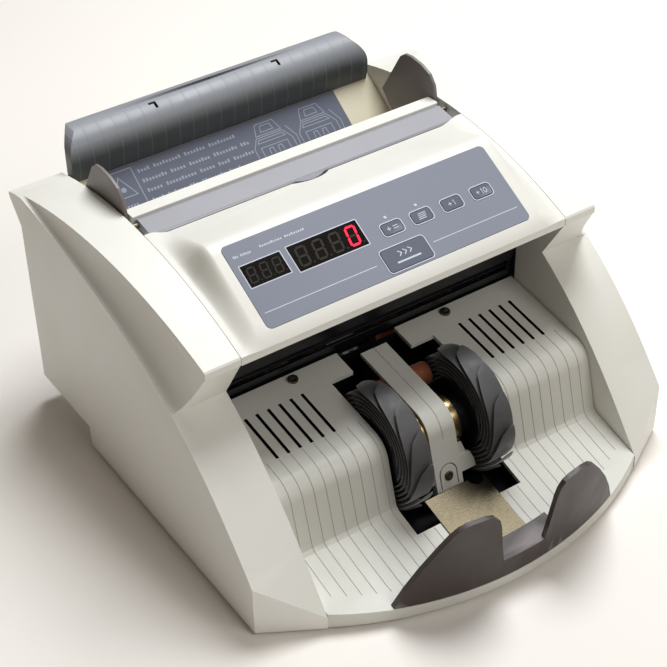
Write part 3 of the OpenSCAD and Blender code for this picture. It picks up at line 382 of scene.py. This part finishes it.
def node_group(name, build):
    """A geometry node group with one mesh in and one out; build turns the first socket into the last."""
    group = bpy.data.node_groups.new(name, "GeometryNodeTree")
    group.interface.new_socket("Mesh", in_out="INPUT", socket_type="NodeSocketGeometry")
    group.interface.new_socket("Mesh", in_out="OUTPUT", socket_type="NodeSocketGeometry")
    first, last = group.nodes.new("NodeGroupInput"), group.nodes.new("NodeGroupOutput")
    group.links.new(build(group, first.outputs[0]), last.inputs[0])
    return group


def weld_nodes(group, mesh):
    merge = group.nodes.new("GeometryNodeMergeByDistance")
    merge.inputs["Distance"].default_value = 0.002 * MM
    group.links.new(mesh, merge.inputs["Geometry"])
    drop = group.nodes.new("GeometryNodeRemoveAttribute")
    drop.inputs["Name"].default_value = "custom_normal"
    group.links.new(merge.outputs["Geometry"], drop.inputs["Geometry"])
    return drop.outputs["Geometry"]


def smooth_nodes(group, mesh):
    """Smooth faces, with edges sharper than SHARP_ANGLE left crisp."""
    faces = group.nodes.new("GeometryNodeSetShadeSmooth")
    group.links.new(mesh, faces.inputs["Geometry"])
    angle = group.nodes.new("GeometryNodeInputMeshEdgeAngle")
    over = group.nodes.new("FunctionNodeCompare")
    over.data_type, over.operation = "FLOAT", "GREATER_THAN"
    over.inputs["B"].default_value = SHARP_ANGLE
    group.links.new(angle.outputs["Unsigned Angle"], over.inputs["A"])
    edges = group.nodes.new("GeometryNodeSetShadeSmooth")
    edges.domain = "EDGE"
    edges.inputs["Shade Smooth"].default_value = False
    group.links.new(faces.outputs["Geometry"], edges.inputs["Geometry"])
    group.links.new(over.outputs["Result"], edges.inputs["Selection"])
    return edges.outputs["Geometry"]


SHARP_ANGLE = math.radians(38)
WELD = node_group("weld", weld_nodes)
SMOOTH = node_group("smooth_by_angle", smooth_nodes)


def add_group(obj, group):
    obj.modifiers.new(group.name, "NODES").node_group = group


def soften(obj, width, cutter=None, segments=3):
    """Rounds an object's edges by width, in millimetres, after cutting cutter out of it."""
    add_group(obj, WELD)
    flat = obj.modifiers.new("flat_faces", "DECIMATE")
    flat.decimate_type = "DISSOLVE"
    flat.angle_limit = math.radians(0.4)
    if width:
        bevel = obj.modifiers.new("soft_edges", "BEVEL")
        bevel.width = width * MM
        bevel.segments = segments
        bevel.limit_method = "ANGLE"
        bevel.angle_limit = math.radians(30)
        bevel.use_clamp_overlap = True
    if cutter:
        cut = obj.modifiers.new("cut", "BOOLEAN")
        cut.operation = "DIFFERENCE"
        cut.solver = "EXACT"
        cut.object = cutter
        cut.material_mode = "TRANSFER"
    add_group(obj, SMOOTH)
    weighted = obj.modifiers.new("weighted_normals", "WEIGHTED_NORMAL")
    weighted.keep_sharp = True


def dress(node, material, width=0.25, cutter=None):
    """Gives a CAD node its material and soft edges."""
    obj = NODES[node]
    if obj.material_slots:
        for s in obj.material_slots:
            s.material = MATERIALS[material]
    else:
        obj.data.materials.append(MATERIALS[material])
    soften(obj, width, cutter)


# ---------------------------------------------------------------- mesh helpers

def piece(name, bm, material, body, width=0.0, replaces=()):
    """Turns a bmesh into a piece that rides on a body."""
    bmesh.ops.recalc_face_normals(bm, faces=bm.faces)
    mesh = bpy.data.meshes.new(name)
    bm.to_mesh(mesh)
    bm.free()
    obj = bpy.data.objects.new(name, mesh)
    bpy.context.scene.collection.objects.link(obj)
    mesh.materials.append(MATERIALS[material])
    soften(obj, width, segments=2)
    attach(obj, body)
    if replaces:
        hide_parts(*replaces)
    return obj


def prism(bm, outline, z0, z1, place=Matrix.Identity(4)):
    """A closed prism over an outline of (x, y) points; millimetres in the place's own frame."""
    low = [bm.verts.new(place @ (Vector((x, y, z0)) * MM)) for x, y in outline]
    top = [bm.verts.new(place @ (Vector((x, y, z1)) * MM)) for x, y in outline]
    n = len(outline)
    bm.faces.new(low[::-1])
    bm.faces.new(top)
    for i in range(n):
        bm.faces.new((low[i], low[(i + 1) % n], top[(i + 1) % n], top[i]))


def ring_prism(bm, outer, inner, z0, z1, place=Matrix.Identity(4)):
    """A prism between two outlines that have the same number of points."""
    n = len(outer)
    rings = []
    for outline, z in ((outer, z0), (inner, z0), (inner, z1), (outer, z1)):
        rings.append([bm.verts.new(place @ (Vector((x, y, z)) * MM)) for x, y in outline])
    for a in range(4):
        b = (a + 1) % 4
        for i in range(n):
            j = (i + 1) % n
            bm.faces.new((rings[a][i], rings[a][j], rings[b][j], rings[b][i]))


def box_outline(x, y, w, h):
    """A rectangle about its centre."""
    return [(x - w / 2, y - h / 2), (x + w / 2, y - h / 2),
            (x + w / 2, y + h / 2), (x - w / 2, y + h / 2)]


def round_outline(x, y, w, h, r, steps=6):
    """A rectangle with round corners, about its centre."""
    points = []
    for corner, (sx, sy) in enumerate(((1, 1), (-1, 1), (-1, -1), (1, -1))):
        for i in range(steps + 1):
            a = math.radians(90 * corner + 90 * i / steps)
            points.append((x + sx * (w / 2 - r) + r * math.cos(a),
                           y + sy * (h / 2 - r) + r * math.sin(a)))
    return points


def disc(x, y, r, steps=24):
    return [(x + r * math.cos(2 * math.pi * i / steps), y + r * math.sin(2 * math.pi * i / steps))
            for i in range(steps)]


def stroke(bm, points, width, z0, z1, place, closed=False):
    """A line of the given width along flat points, with mitred corners."""
    n = len(points)
    sides = ([], [])
    for i, (x, y) in enumerate(points):
        before = points[i - 1] if (closed or i) else points[i]
        after = points[(i + 1) % n] if (closed or i < n - 1) else points[i]
        d0 = Vector((x - before[0], y - before[1]))
        d1 = Vector((after[0] - x, after[1] - y))
        d0 = (d0 if d0.length else d1).normalized()
        d1 = (d1 if d1.length else d0).normalized()
        normal = Vector((-(d0 + d1).y, (d0 + d1).x)).normalized()
        half = width / 2 / max(0.5, normal.dot(Vector((-d0.y, d0.x))))
        for side, sign in zip(sides, (1, -1)):
            side.append((x + sign * half * normal.x, y + sign * half * normal.y))
    if closed:
        ring_prism(bm, sides[0], sides[1], z0, z1, place)
    else:
        prism(bm, sides[0] + sides[1][::-1], z0, z1, place)


def word_bars(bm, words, x, y, height, letter, z0, z1, place):
    """A row of plain blocks in the rhythm of a printed line; it spells nothing."""
    for letters in words:
        for i in range(letters):
            tall = height * (1.0 if i == 0 or (i * 7 + letters) % 5 == 0 else 0.72)
            prism(bm, box_outline(x + letter * 0.36, y + tall / 2, letter * 0.62, tall), z0, z1, place)
            x += letter
        x += letter * 1.1


# ---------------------------------------------------------------- control panel

PANEL_TILT = math.radians(27.8)
LABEL_T = 0.8                       # the overlay's thickness
LABEL_PROUD = 0.1                   # how far its face stands above the panel's zero plane
PRINT_T = 0.05
PRINT_ROOT = 0.03                   # how deep print reaches into the surface below it
RIM_ROOT = 0.05                     # the same for the rims of keys and windows
KEY_ROW = 25                        # height of the small keys' row up the panel
KEY_XS = (7.6, 26.5, 46.3, 66)
KEY_SIZE = (12, 6.8)
KEY_TOP = 0.5
START = (6.3, 8.4)
START_SIZE = (27, 13)
SMALL_WINDOW = (-67.4, 30.1)
LARGE_WINDOW = (-30, 29.4)
LAMP_XS, LAMP_Y = (7.2, 26.8), 31.9
MARK_W = 0.42                       # line width of the symbols on the keys
DIGIT_ROOT, DIGIT_TOP, LIT_EXTRA = -0.05, 0.04, 0.04
DIGIT_SLANT = 0.13
DIGIT_ROWS = (                      # window, digits, pitch, width, height, line width
    (SMALL_WINDOW, 3, 7.5, 5.0, 9.2, 0.85),
    (LARGE_WINDOW, 4, 10.2, 6.6, 11.8, 1.25),
)


def panel_place():
    """The panel's frame: X across, Y up the slope from the overlay's lower edge, Z out."""
    low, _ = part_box("control_label")
    sin, cos = math.sin(PANEL_TILT), math.cos(PANEL_TILT)
    origin = Vector((0, low.y + LABEL_PROUD * MM * sin, low.z + (LABEL_T - LABEL_PROUD) * MM * cos))
    return Matrix.Translation(origin) @ Matrix.Rotation(PANEL_TILT, 4, "X")


def digit_segments(x, y, w, h, t):
    """The seven segments of a digit, a to g, as hexagon outlines."""
    gap = 0.12
    half_w, half_h = w / 2 - t / 2, h / 2 - t / 2

    def bar(cx, cy, length, upright):
        tip, side = length / 2 - gap, t / 2
        shape = [(-tip, 0), (-tip + side, side), (tip - side, side),
                 (tip, 0), (tip - side, -side), (-tip + side, -side)]
        if upright:
            shape = [(-b, a) for a, b in shape]
        return [(x + cx + a + DIGIT_SLANT * (cy + b), y + cy + b) for a, b in shape]

    return [bar(0, half_h, 2 * half_w, False), bar(half_w, half_h / 2, half_h, True),
            bar(half_w, -half_h / 2, half_h, True), bar(0, -half_h, 2 * half_w, False),
            bar(-half_w, -half_h / 2, half_h, True), bar(-half_w, half_h / 2, half_h, True),
            bar(0, 0, 2 * half_w, False)]


def make_displays(place):
    """Unlit digits show faintly behind both windows; the last one shows a lit nought."""
    dim, lit = bmesh.new(), bmesh.new()
    for window, count, pitch, w, h, t in DIGIT_ROWS:
        for k in range(count):
            x, y = window[0] + (k - (count - 1) / 2) * pitch, window[1]
            on = range(6) if window == LARGE_WINDOW and k == count - 1 else ()
            for i, outline in enumerate(digit_segments(x, y, w, h, t)):
                extra = LIT_EXTRA if i in on else 0
                prism(lit if i in on else dim, outline, DIGIT_ROOT, DIGIT_TOP + extra, place)
            point = disc(x + w / 2 + t * 0.7, y - h / 2 + t * 0.5, t * 0.45, 12)
            prism(dim, point, DIGIT_ROOT, DIGIT_TOP, place)
    piece("unlit_digits", dim, "segment", CASING)
    piece("lit_digit", lit, "lit", CASING)


def make_panel_print(place):
    """Fine print on the overlay: rules, key outlines, lamps and a row of plain blocks."""
    z0, z1 = LABEL_PROUD - PRINT_ROOT, LABEL_PROUD + PRINT_T
    bm = bmesh.new()
    stroke(bm, [(-80.2, 8.8), (-12.4, 8.8)], 0.45, z0, z1, place)
    stroke(bm, [(23.6, 9), (79.6, 9)], 0.45, z0, z1, place)
    word_bars(bm, (3, 6), -79.5, 41.6, 1.5, 1.05, z0, z1, place)
    word_bars(bm, (10, 9), -63.5, 42.4, 1.3, 1.35, z0, z1, place)
    piece("panel_print", bm, "print", CASING)

    bm = bmesh.new()
    for (x, y), (w, h) in [((x, KEY_ROW), KEY_SIZE) for x in KEY_XS] + [(START, START_SIZE)]:
        outer = round_outline(x, y, w + 1.9, h + 1.9, 2.5)
        inner = round_outline(x, y, w + 0.7, h + 0.7, 1.95)
        ring_prism(bm, outer, inner, LABEL_PROUD - RIM_ROOT, LABEL_PROUD + 0.3, place)
    piece("key_rims", bm, "print", CASING, 0.12)

    bm = bmesh.new()
    for (x, y), (w, h) in ((SMALL_WINDOW, (23.8, 13)), (LARGE_WINDOW, (42.6, 15.5))):
        outer = round_outline(x, y, w + 1.0, h + 1.0, 0.6, 3)
        inner = round_outline(x, y, w - 0.1, h - 0.1, 0.25, 3)
        ring_prism(bm, outer, inner, LABEL_PROUD - RIM_ROOT, LABEL_PROUD + 0.08, place)
    piece("window_rims", bm, "print", CASING)

    bm = bmesh.new()
    for x in LAMP_XS:
        for r, z in ((0.9, 0.18), (0.6, 0.32)):
            prism(bm, disc(x, LAMP_Y, r), LABEL_PROUD - PRINT_ROOT, LABEL_PROUD + z, place)
    piece("lamp_lenses", bm, "print", CASING)


def make_key_marks(place):
    """Plain symbols on the keys: a sum, a stack, +1, +10, and three arrows over a bar."""
    z0, z1 = KEY_TOP - PRINT_ROOT, KEY_TOP + PRINT_T

    def plus(bm, x, y, s):
        for line in ([(x - s, y), (x - 0.2, y)], [(x + 0.2, y), (x + s, y)], [(x, y - s), (x, y + s)]):
            stroke(bm, line, MARK_W, z0, z1, place)

    def numeral_one(bm, x, y, h):
        stroke(bm, [(x - 0.6, y + h * 0.3), (x, y + h / 2), (x, y - h / 2)], 0.4, z0, z1, place)

    def numeral_nought(bm, x, y, h):
        outline = [(x + 0.85 * math.cos(a), y + h / 2 * math.sin(a))
                   for a in [math.tau * i / 20 for i in range(20)]]
        stroke(bm, outline, 0.4, z0, z1, place, closed=True)

    marks = []
    bm = bmesh.new()
    plus(bm, KEY_XS[0] - 2.2, KEY_ROW, 1.2)
    for k in (-1, 1):
        y = KEY_ROW + k * 0.7
        stroke(bm, [(KEY_XS[0] + 0.4, y), (KEY_XS[0] + 3.6, y)], MARK_W, z0, z1, place)
    marks.append(("key_add", bm))
    bm = bmesh.new()
    for k in range(4):
        y = KEY_ROW - 1.6 + k * 1.05
        x0, x1 = KEY_XS[1] - 2.6 + 0.3 * k, KEY_XS[1] + 2.2 + 0.3 * k
        stroke(bm, [(x0, y), (x1, y)], MARK_W, z0, z1, place)
    marks.append(("key_batch", bm))
    bm = bmesh.new()
    plus(bm, KEY_XS[2] - 1.3, KEY_ROW, 1.1)
    numeral_one(bm, KEY_XS[2] + 1.6, KEY_ROW, 3)
    marks.append(("key_plus_one", bm))
    bm = bmesh.new()
    plus(bm, KEY_XS[3] - 2.4, KEY_ROW, 1.1)
    numeral_one(bm, KEY_XS[3] + 0.4, KEY_ROW, 3)
    numeral_nought(bm, KEY_XS[3] + 2.4, KEY_ROW, 3)
    marks.append(("key_plus_ten", bm))
    bm = bmesh.new()
    x, y = START
    for k in (-1, 0, 1):
        back, tip = x + k * 3.2 - 0.9, x + k * 3.2 + 0.9
        stroke(bm, [(back, y + 0.4), (tip, y + 2.0), (back, y + 3.6)], 0.55, z0, z1, place)
    stroke(bm, [(x - 7.4, y - 2.6), (x + 7.4, y - 2.6)], 1.0, z0, z1, place)
    marks.append(("key_start", bm))
    for key, bm in marks:
        piece(key + "_mark", bm, "print", key)


# ---------------------------------------------------------------- hopper

HOPPER_TILT = math.radians(35)
HOPPER_LABEL_T = 0.5
LABEL_FOOT = 36                     # the label's lower edge, measured up the hopper plate
LABEL_ROWS = (                      # height up the plate, and the lengths of the row's blocks
    (63.4, (4, 9, 7, 9)),
    (56.8, (8, 5, 7, 8, 3)),
    (50.6, (5, 10, 5, 4, 7)),
    (44.4, (4, 6, 3, 8, 4)),
)


def hopper_place():
    """The hopper plate's frame: X across, Y up the slope from its lower end, Z out of it."""
    low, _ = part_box("hopper_label")
    sin, cos = math.sin(HOPPER_TILT), math.cos(HOPPER_TILT)
    edge = Vector((0, low.y + HOPPER_LABEL_T * MM * sin, low.z))
    origin = edge - LABEL_FOOT * MM * Vector((0, cos, sin))
    return Matrix.Translation(origin) @ Matrix.Rotation(HOPPER_TILT, 4, "X")


def make_hopper_print(place):
    """Line drawings and rows of plain blocks on the instruction label."""
    z0, z1 = HOPPER_LABEL_T - PRINT_ROOT, HOPPER_LABEL_T + 0.06
    bm = bmesh.new()
    stroke(bm, [(-84, 41), (-84, 68), (-64.6, 68), (-64.6, 41)], 0.55, z0, z1, place, closed=True)
    stroke(bm, [(-81, 52), (-74.3, 64.6), (-67.6, 52)], 0.6, z0, z1, place, closed=True)
    prism(bm, disc(-74.3, 56.6, 1.6), z0, z1, place)
    word_bars(bm, (5,), -79, 45.6, 2.0, 1.9, z0, z1, place)
    for y, words in LABEL_ROWS:
        word_bars(bm, words, -61.6, y, 2.2, 2.0, z0, z1, place)
    for x in (23, 54):
        machine_sketch(bm, x, z0, z1, place)
    piece("label_graphics", bm, "hopper_print", CASING)


def machine_sketch(bm, x, z0, z1, place):
    """A small outline drawing of a counter with a note in its hopper."""
    def line(points, closed=False):
        stroke(bm, [(x + a, b) for a, b in points], 0.5, z0, z1, place, closed)
    line([(-13, 46), (-13, 52), (-9, 58), (9, 58), (13, 52), (13, 46)])
    line([(-9.4, 54.6), (-8, 56.6), (8, 56.6), (9.4, 54.6)], True)
    line([(-8.5, 59.2), (-6, 66.4), (6, 66.4), (8.5, 59.2)], True)
    line([(-4.2, 61), (-3.2, 64.8), (3.2, 64.8), (4.2, 61)], True)
    line([(-9, 46), (-9, 51.6), (9, 51.6), (9, 46)])
    for k in (-1, 1):
        line([(k * 3 - 1.6, 46), (k * 3 - 1.2, 50), (k * 3 + 1.2, 50), (k * 3 + 1.6, 46)])
    line([(15.5, 45), (16, 52), (12, 60)])


def surface_line(node, x, y0, y1, step=0.4):
    """The path along the top of a node at that x, from y0 to y1, without its needless points."""
    mesh = NODES[node].data
    tree = BVHTree.FromPolygons([v.co for v in mesh.vertices], [p.vertices for p in mesh.polygons])
    count = max(2, int(abs(y1 - y0) / (step * MM)))
    points = []
    for i in range(count + 1):
        y = y0 + (y1 - y0) * i / count
        hit, _, _, _ = tree.ray_cast(Vector((x, y, 1)), Vector((0, 0, -1)))
        if hit is not None:
            points.append(hit)
    kept = [points[0]]
    for a, b, c in zip(points, points[1:], points[2:]):
        if (b - kept[-1]).normalized().dot((c - b).normalized()) < math.cos(math.radians(1.5)):
            kept.append(b)
    kept.append(points[-1])
    return kept


def path_bar(bm, path, width, low, high):
    """A closed bar along a path in a plane of constant x, from low to high about it."""
    rings = []
    n = len(path)
    for i, point in enumerate(path):
        along = (path[min(i + 1, n - 1)] - path[max(i - 1, 0)]).normalized()
        up = Vector((0, -along.z, along.y))
        if up.z < 0:
            up.negate()
        rings.append([bm.verts.new(point + Vector((sx * width / 2 * MM, 0, 0)) + up * h * MM)
                      for sx, h in ((-1, low), (1, low), (1, high), (-1, high))])
    for a, b in zip(rings, rings[1:]):
        for i in range(4):
            bm.faces.new((a[i], a[(i + 1) % 4], b[(i + 1) % 4], b[i]))
    bm.faces.new(rings[0][::-1])
    bm.faces.new(rings[-1])


# ---------------------------------------------------------------- stacker

SLOT_X0, SLOT_PITCH, SLOTS = 52.7, 7.1, 6
GROOVE_W, GROOVE_DEPTH = 0.5, 0.32
CUT_ABOVE = 0.4                     # how far a groove's cutter stands out of the surface
TRAY_R = 198.5                      # plan radius of the stacker plate's front edge
GROOVE_STOP = 12                    # from that edge to the grooves' front ends
INNER_GROOVE, OPENING_X = 21, 36    # no groove further in; those beyond the second reach the slots
TAB_PLACE, TAB_TILT = (0, -20.8, -18.8), math.radians(74.5)
TAB_R = 5.5


def cutter_object(name, bm, materials):
    """A hidden mesh that a boolean modifier subtracts; the cut faces take its materials."""
    bmesh.ops.recalc_face_normals(bm, faces=bm.faces)
    mesh = bpy.data.meshes.new(name)
    bm.to_mesh(mesh)
    bm.free()
    for material in materials:
        mesh.materials.append(MATERIALS[material])
    obj = bpy.data.objects.new(name, mesh)
    bpy.context.scene.collection.objects.link(obj)
    obj.hide_render = True
    obj.display_type = "WIRE"
    return obj


def make_tray_grooves():
    """Fine grooves down the stacker plate, in line with its slots."""
    low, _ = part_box("stacker_plate")
    wheel_low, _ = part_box("left_stacker_wheel")
    bm = bmesh.new()
    slot_end = joint_place("stacker_spin").y + 8.4 * MM
    opening_front = wheel_low.y - 4.6 * MM
    x = SLOT_X0 + SLOTS * SLOT_PITCH
    while x > INNER_GROOVE:
        rear = slot_end if x > OPENING_X else opening_front
        sag = (1 - math.sqrt(max(0, 1 - (x / TRAY_R) ** 2))) * TRAY_R
        edge = low.y + sag * MM + GROOVE_STOP * MM
        for sign in (-1, 1):
            path = surface_line("stacker_plate", sign * x * MM, rear, edge)
            path_bar(bm, path, GROOVE_W, -GROOVE_DEPTH, CUT_ABOVE)
        x -= SLOT_PITCH
    # Faces so far are grooves; their cut walls keep material 0, the groove colour, a painted shade
    # darker than the tray.
    grooves = len(bm.faces)
    axis = Matrix.Translation(joint_place("stacker_spin"))
    for k in range(SLOTS):
        for sign in (-1, 1):
            slot = box_outline(sign * (SLOT_X0 + k * SLOT_PITCH), 24.4, 1.86, 31.46)
            prism(bm, slot, -3, 40, axis)
    # The slots' cut walls take material 1, the black sheet: painted shade inside the slots.
    bm.faces.ensure_lookup_table()
    for face in bm.faces[grooves:]:
        face.material_index = 1
    return cutter_object("tray_groove_cutter", bm, ("groove_painted_shade", "shade_sheet"))


def make_strap_grooves():
    low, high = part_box("centre_strap")
    bm = bmesh.new()
    path = surface_line("centre_strap", 0, high.y + 1 * MM, low.y + 8.5 * MM)
    path_bar(bm, path, GROOVE_W, -GROOVE_DEPTH, CUT_ABOVE)
    # A line round the raised tab on the riser
    riser = Matrix.Translation(joint_place("stacker_spin") + Vector(TAB_PLACE) * MM)
    riser = riser @ Matrix.Rotation(TAB_TILT, 4, "X")
    arch = [(TAB_R * math.cos(a), 1.4 + TAB_R * math.sin(a))
            for a in [math.pi * i / 16 for i in range(17)]]
    stroke(bm, [(TAB_R, -7.4)] + arch + [(-TAB_R, -7.4)], 0.7, -1.3, 1.2, riser)
    # The cut walls take the groove colour, a painted shade darker than the tray.
    return cutter_object("strap_groove_cutter", bm, ("groove_painted_shade",))


LEAVES = 12
WHEEL_R, CORE_R = 36.3, 21.3
LEAF_SWEEP = math.radians(175)
LEAF_PHASE = math.radians(8)
LEAF_W = 13.6
LEAF_ROOT = 0.6                     # how deep a leaf reaches into the core
TAPER_FROM = 0.78                   # share of a leaf's length at which it starts to narrow
BORE_R, BOSS_R = 4.1, 11.5


def leaf_point(radius, turn):
    """A point of a leaf's middle line, as (y, z) about the axis; the leaf trails as it goes out."""
    a = turn - LEAF_SWEEP * (radius - CORE_R) / (WHEEL_R - CORE_R)
    return Vector((radius * math.cos(a), radius * math.sin(a)))


def add_leaf(bm, turn, x0, x1, axis, steps=30, across=6):
    """One curved rubber leaf, cut to a narrow round tip near its high-X side."""
    grids = ([], [])
    for i in range(steps + 1):
        t = i / steps
        radius = CORE_R - LEAF_ROOT + (WHEEL_R - CORE_R + LEAF_ROOT) * t
        point = leaf_point(radius, turn)
        along = (leaf_point(radius + 0.2, turn) - leaf_point(radius - 0.2, turn)).normalized()
        normal = Vector((-along.y, along.x))
        thick = 1.0 - 0.45 * t
        s = max(0.0, (t - TAPER_FROM) / (1 - TAPER_FROM))
        low = x0 + (x1 - x0) * 0.74 * (1 - math.sqrt(1 - s * s))
        high = x1 - (x1 - x0) * 0.1 * s ** 4
        for grid, sign in zip(grids, (1, -1)):
            row = []
            for j in range(across + 1):
                edge = 2 * j / across - 1
                flat = point + normal * sign * thick / 2 * (1 - 0.4 * edge ** 6)
                x = low + (high - low) * j / across
                row.append(bm.verts.new(Vector((x, flat.x, flat.y)) * MM + axis))
            grid.append(row)
    for grid, flip in zip(grids, (False, True)):
        for i in range(steps):
            for j in range(across):
                face = (grid[i][j], grid[i][j + 1], grid[i + 1][j + 1], grid[i + 1][j])
                bm.faces.new(face[::-1] if flip else face)
    top, under = grids
    for i in range(steps):
        for j in (0, across):
            bm.faces.new((top[i][j], top[i + 1][j], under[i + 1][j], under[i][j]))
    for j in range(across):
        for i in (0, steps):
            bm.faces.new((top[i][j], top[i][j + 1], under[i][j + 1], under[i][j]))


def lathe(bm, profile, axis, steps=64):
    """A closed solid turned about an axis along X; profile is a closed loop of (x, radius)."""
    rings = []
    for x, r in profile:
        rings.append([bm.verts.new(axis + Vector((x, r * math.cos(math.tau * k / steps),
                                                  r * math.sin(math.tau * k / steps))) * MM)
                      for k in range(steps)])
    n = len(profile)
    for i in range(n):
        for k in range(steps):
            m = (k + 1) % steps
            bm.faces.new((rings[i][k], rings[i][m], rings[(i + 1) % n][m], rings[(i + 1) % n][k]))


def make_stacker_wheels():
    axis = joint_place("stacker_spin")
    for side, name in ((-1, "left_stacker_wheel"), (1, "right_stacker_wheel")):
        low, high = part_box(name)
        outer = (low.x if side < 0 else high.x) / MM
        inner = (high.x if side < 0 else low.x) / MM
        root = outer - side * LEAF_W
        x0, x1 = sorted((outer - side * 0.1, root + side * 0.1))
        bm = bmesh.new()
        for i in range(LEAVES):
            add_leaf(bm, LEAF_PHASE + math.tau * i / LEAVES, x0, x1, Vector((0, axis.y, axis.z)))
        piece(name.replace("wheel", "leaves"), bm, "rubber", "stacker", replaces=(name,))
        bm = bmesh.new()
        profile = [(inner, BORE_R), (outer - side * 0.5, BORE_R),
                   (outer - side * 0.5, 20.4), (outer - side * 1.2, CORE_R),
                   (root + side * 0.6, CORE_R), (root, 20.6), (root, BOSS_R),
                   (inner + side * 0.6, BOSS_R), (inner, 10.9)]
        lathe(bm, profile, Vector((0, axis.y, axis.z)))
        piece(name.replace("wheel", "wheel_core"), bm, "black", "stacker",
              replaces=(name,))


def make_shade_sheets():
    """Black sheets in the wheel well and under the slots: painted shade where those hollows lie in
    shadow.
    """
    _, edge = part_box("stacker_plate")
    rear = edge.y / MM
    along_x = Matrix(((0, 0, 1, 0), (1, 0, 0, 0), (0, 1, 0, 0), (0, 0, 0, 1)))
    floor = [(-97.5, 5.0), (-27.5, 5.0), (-25.5, 18.6), (-0.4, 18.6), (-0.4, 63.4)]
    bm = bmesh.new()
    under = [(y + 0.5, z - 0.3) for y, z in floor]
    prism(bm, [(rear + y, z) for y, z in floor + under[::-1]], -36.5, 36.5, along_x)
    wall = floor + [(-54.5, 56.2), (-66.5, 44.5), (-73.5, 22), (-79.5, 16.4), (-97.5, 12.2)]
    for x in (-37.1, 36.6):
        prism(bm, [(rear + y, z) for y, z in wall], x, x + 0.5, along_x)
    piece("wheel_well_shade_sheet", bm, "shade_sheet", CASING)
    bm = bmesh.new()
    for x in (-102, 38):
        sheet = [(-56, 50), (-7, 55.4), (-7, 54.9), (-56, 49.5)]
        prism(bm, [(rear + y, z) for y, z in sheet], x, x + 64, along_x)
        upright = [(-7.5, 55), (-7, 61), (-6.6, 61), (-6.6, 55)]
        prism(bm, [(rear + y, z) for y, z in upright], x, x + 64, along_x)
    piece("slot_shade_sheets", bm, "shade_sheet", CASING)


# ---------------------------------------------------------------- dressing of the CAD nodes

DRESS = {                           # material: each of its nodes, and the rounding of its edges
    "cream": (("left_side_housing", 0.9), ("right_side_housing", 0.9), ("control_cover", 0.5),
              ("base_pan", 0.3), ("rear_cover", 0.4)),
    "hopper": (("hopper_plate", 0.3),),
    "label": (("control_label", 0.12),),
    "window": (("display_windows", 0.1),),
    "board": (("display_board", 0.1), ("main_board", 0.1)),
    "key": (("key_add", 0.25), ("key_batch", 0.25), ("key_plus_one", 0.25), ("key_plus_ten", 0.25),
            ("key_start", 0.3)),
    "screw": (("tray_screws", 0.15), ("flap_pins", 0.15)),
    "steel": (("base_screws", 0.1), ("stacker_shaft", 0.3), ("transport_shaft", 0.3),
              ("feed_shaft", 0.3), ("pickup_shaft", 0.3), ("motor_pulley", 0.2), ("pressure_rod", 0.2),
              ("retard_bracket", 0.3)),
    "plate": (("sensor_plate", 0.15),),
    "brass": (("wheel_hubs", 0.4), ("shaft_bushes", 0.2), ("gap_screw", 0.15)),
    "mauve": (("note_stop", 0.5),),
    "fin": (("left_note_guide", 0.5), ("right_note_guide", 0.5)),
    "black": (("exit_guide", 0.3), ("tie_rods", 0.2), ("power_inlet", 0.3), ("power_switch", 0.3),
              ("stacker_pulley", 0.2), ("transport_pulley", 0.2), ("feed_pulley", 0.2),
              ("pickup_pulley", 0.2)),
    "belt": (("pickup_rollers", 0.4), ("pressure_rollers", 0.3), ("retard_rollers", 0.3),
             ("drive_belts", 0.2), ("rubber_feet", 0.4)),
    "tyre": (("feed_rollers", 0.4), ("transport_rollers", 0.4), ("exit_rollers", 0.5)),
    "sheet": (("left_frame_plate", 0.2), ("right_frame_plate", 0.2), ("main_motor", 0.5),
              ("power_supply", 0.4)),
    "hopper_dark": (("hopper_back", 0.45),),
    "instruction": (("hopper_label", 0.1),),
    "flap": (("guide_flap", 0.4),),
    "red": (("power_rocker", 0.3),),
}

make_camera()
MATERIALS.update(make_materials())
make_stage()
for material, nodes in DRESS.items():
    for node, width in nodes:
        dress(node, material, width)
dress("stacker_plate", "tray", 0.3, make_tray_grooves())
dress("centre_strap", "tray", 0.3, make_strap_grooves())
panel = panel_place()
make_displays(panel)
make_panel_print(panel)
make_key_marks(panel)
make_hopper_print(hopper_place())
make_stacker_wheels()
make_shade_sheets()
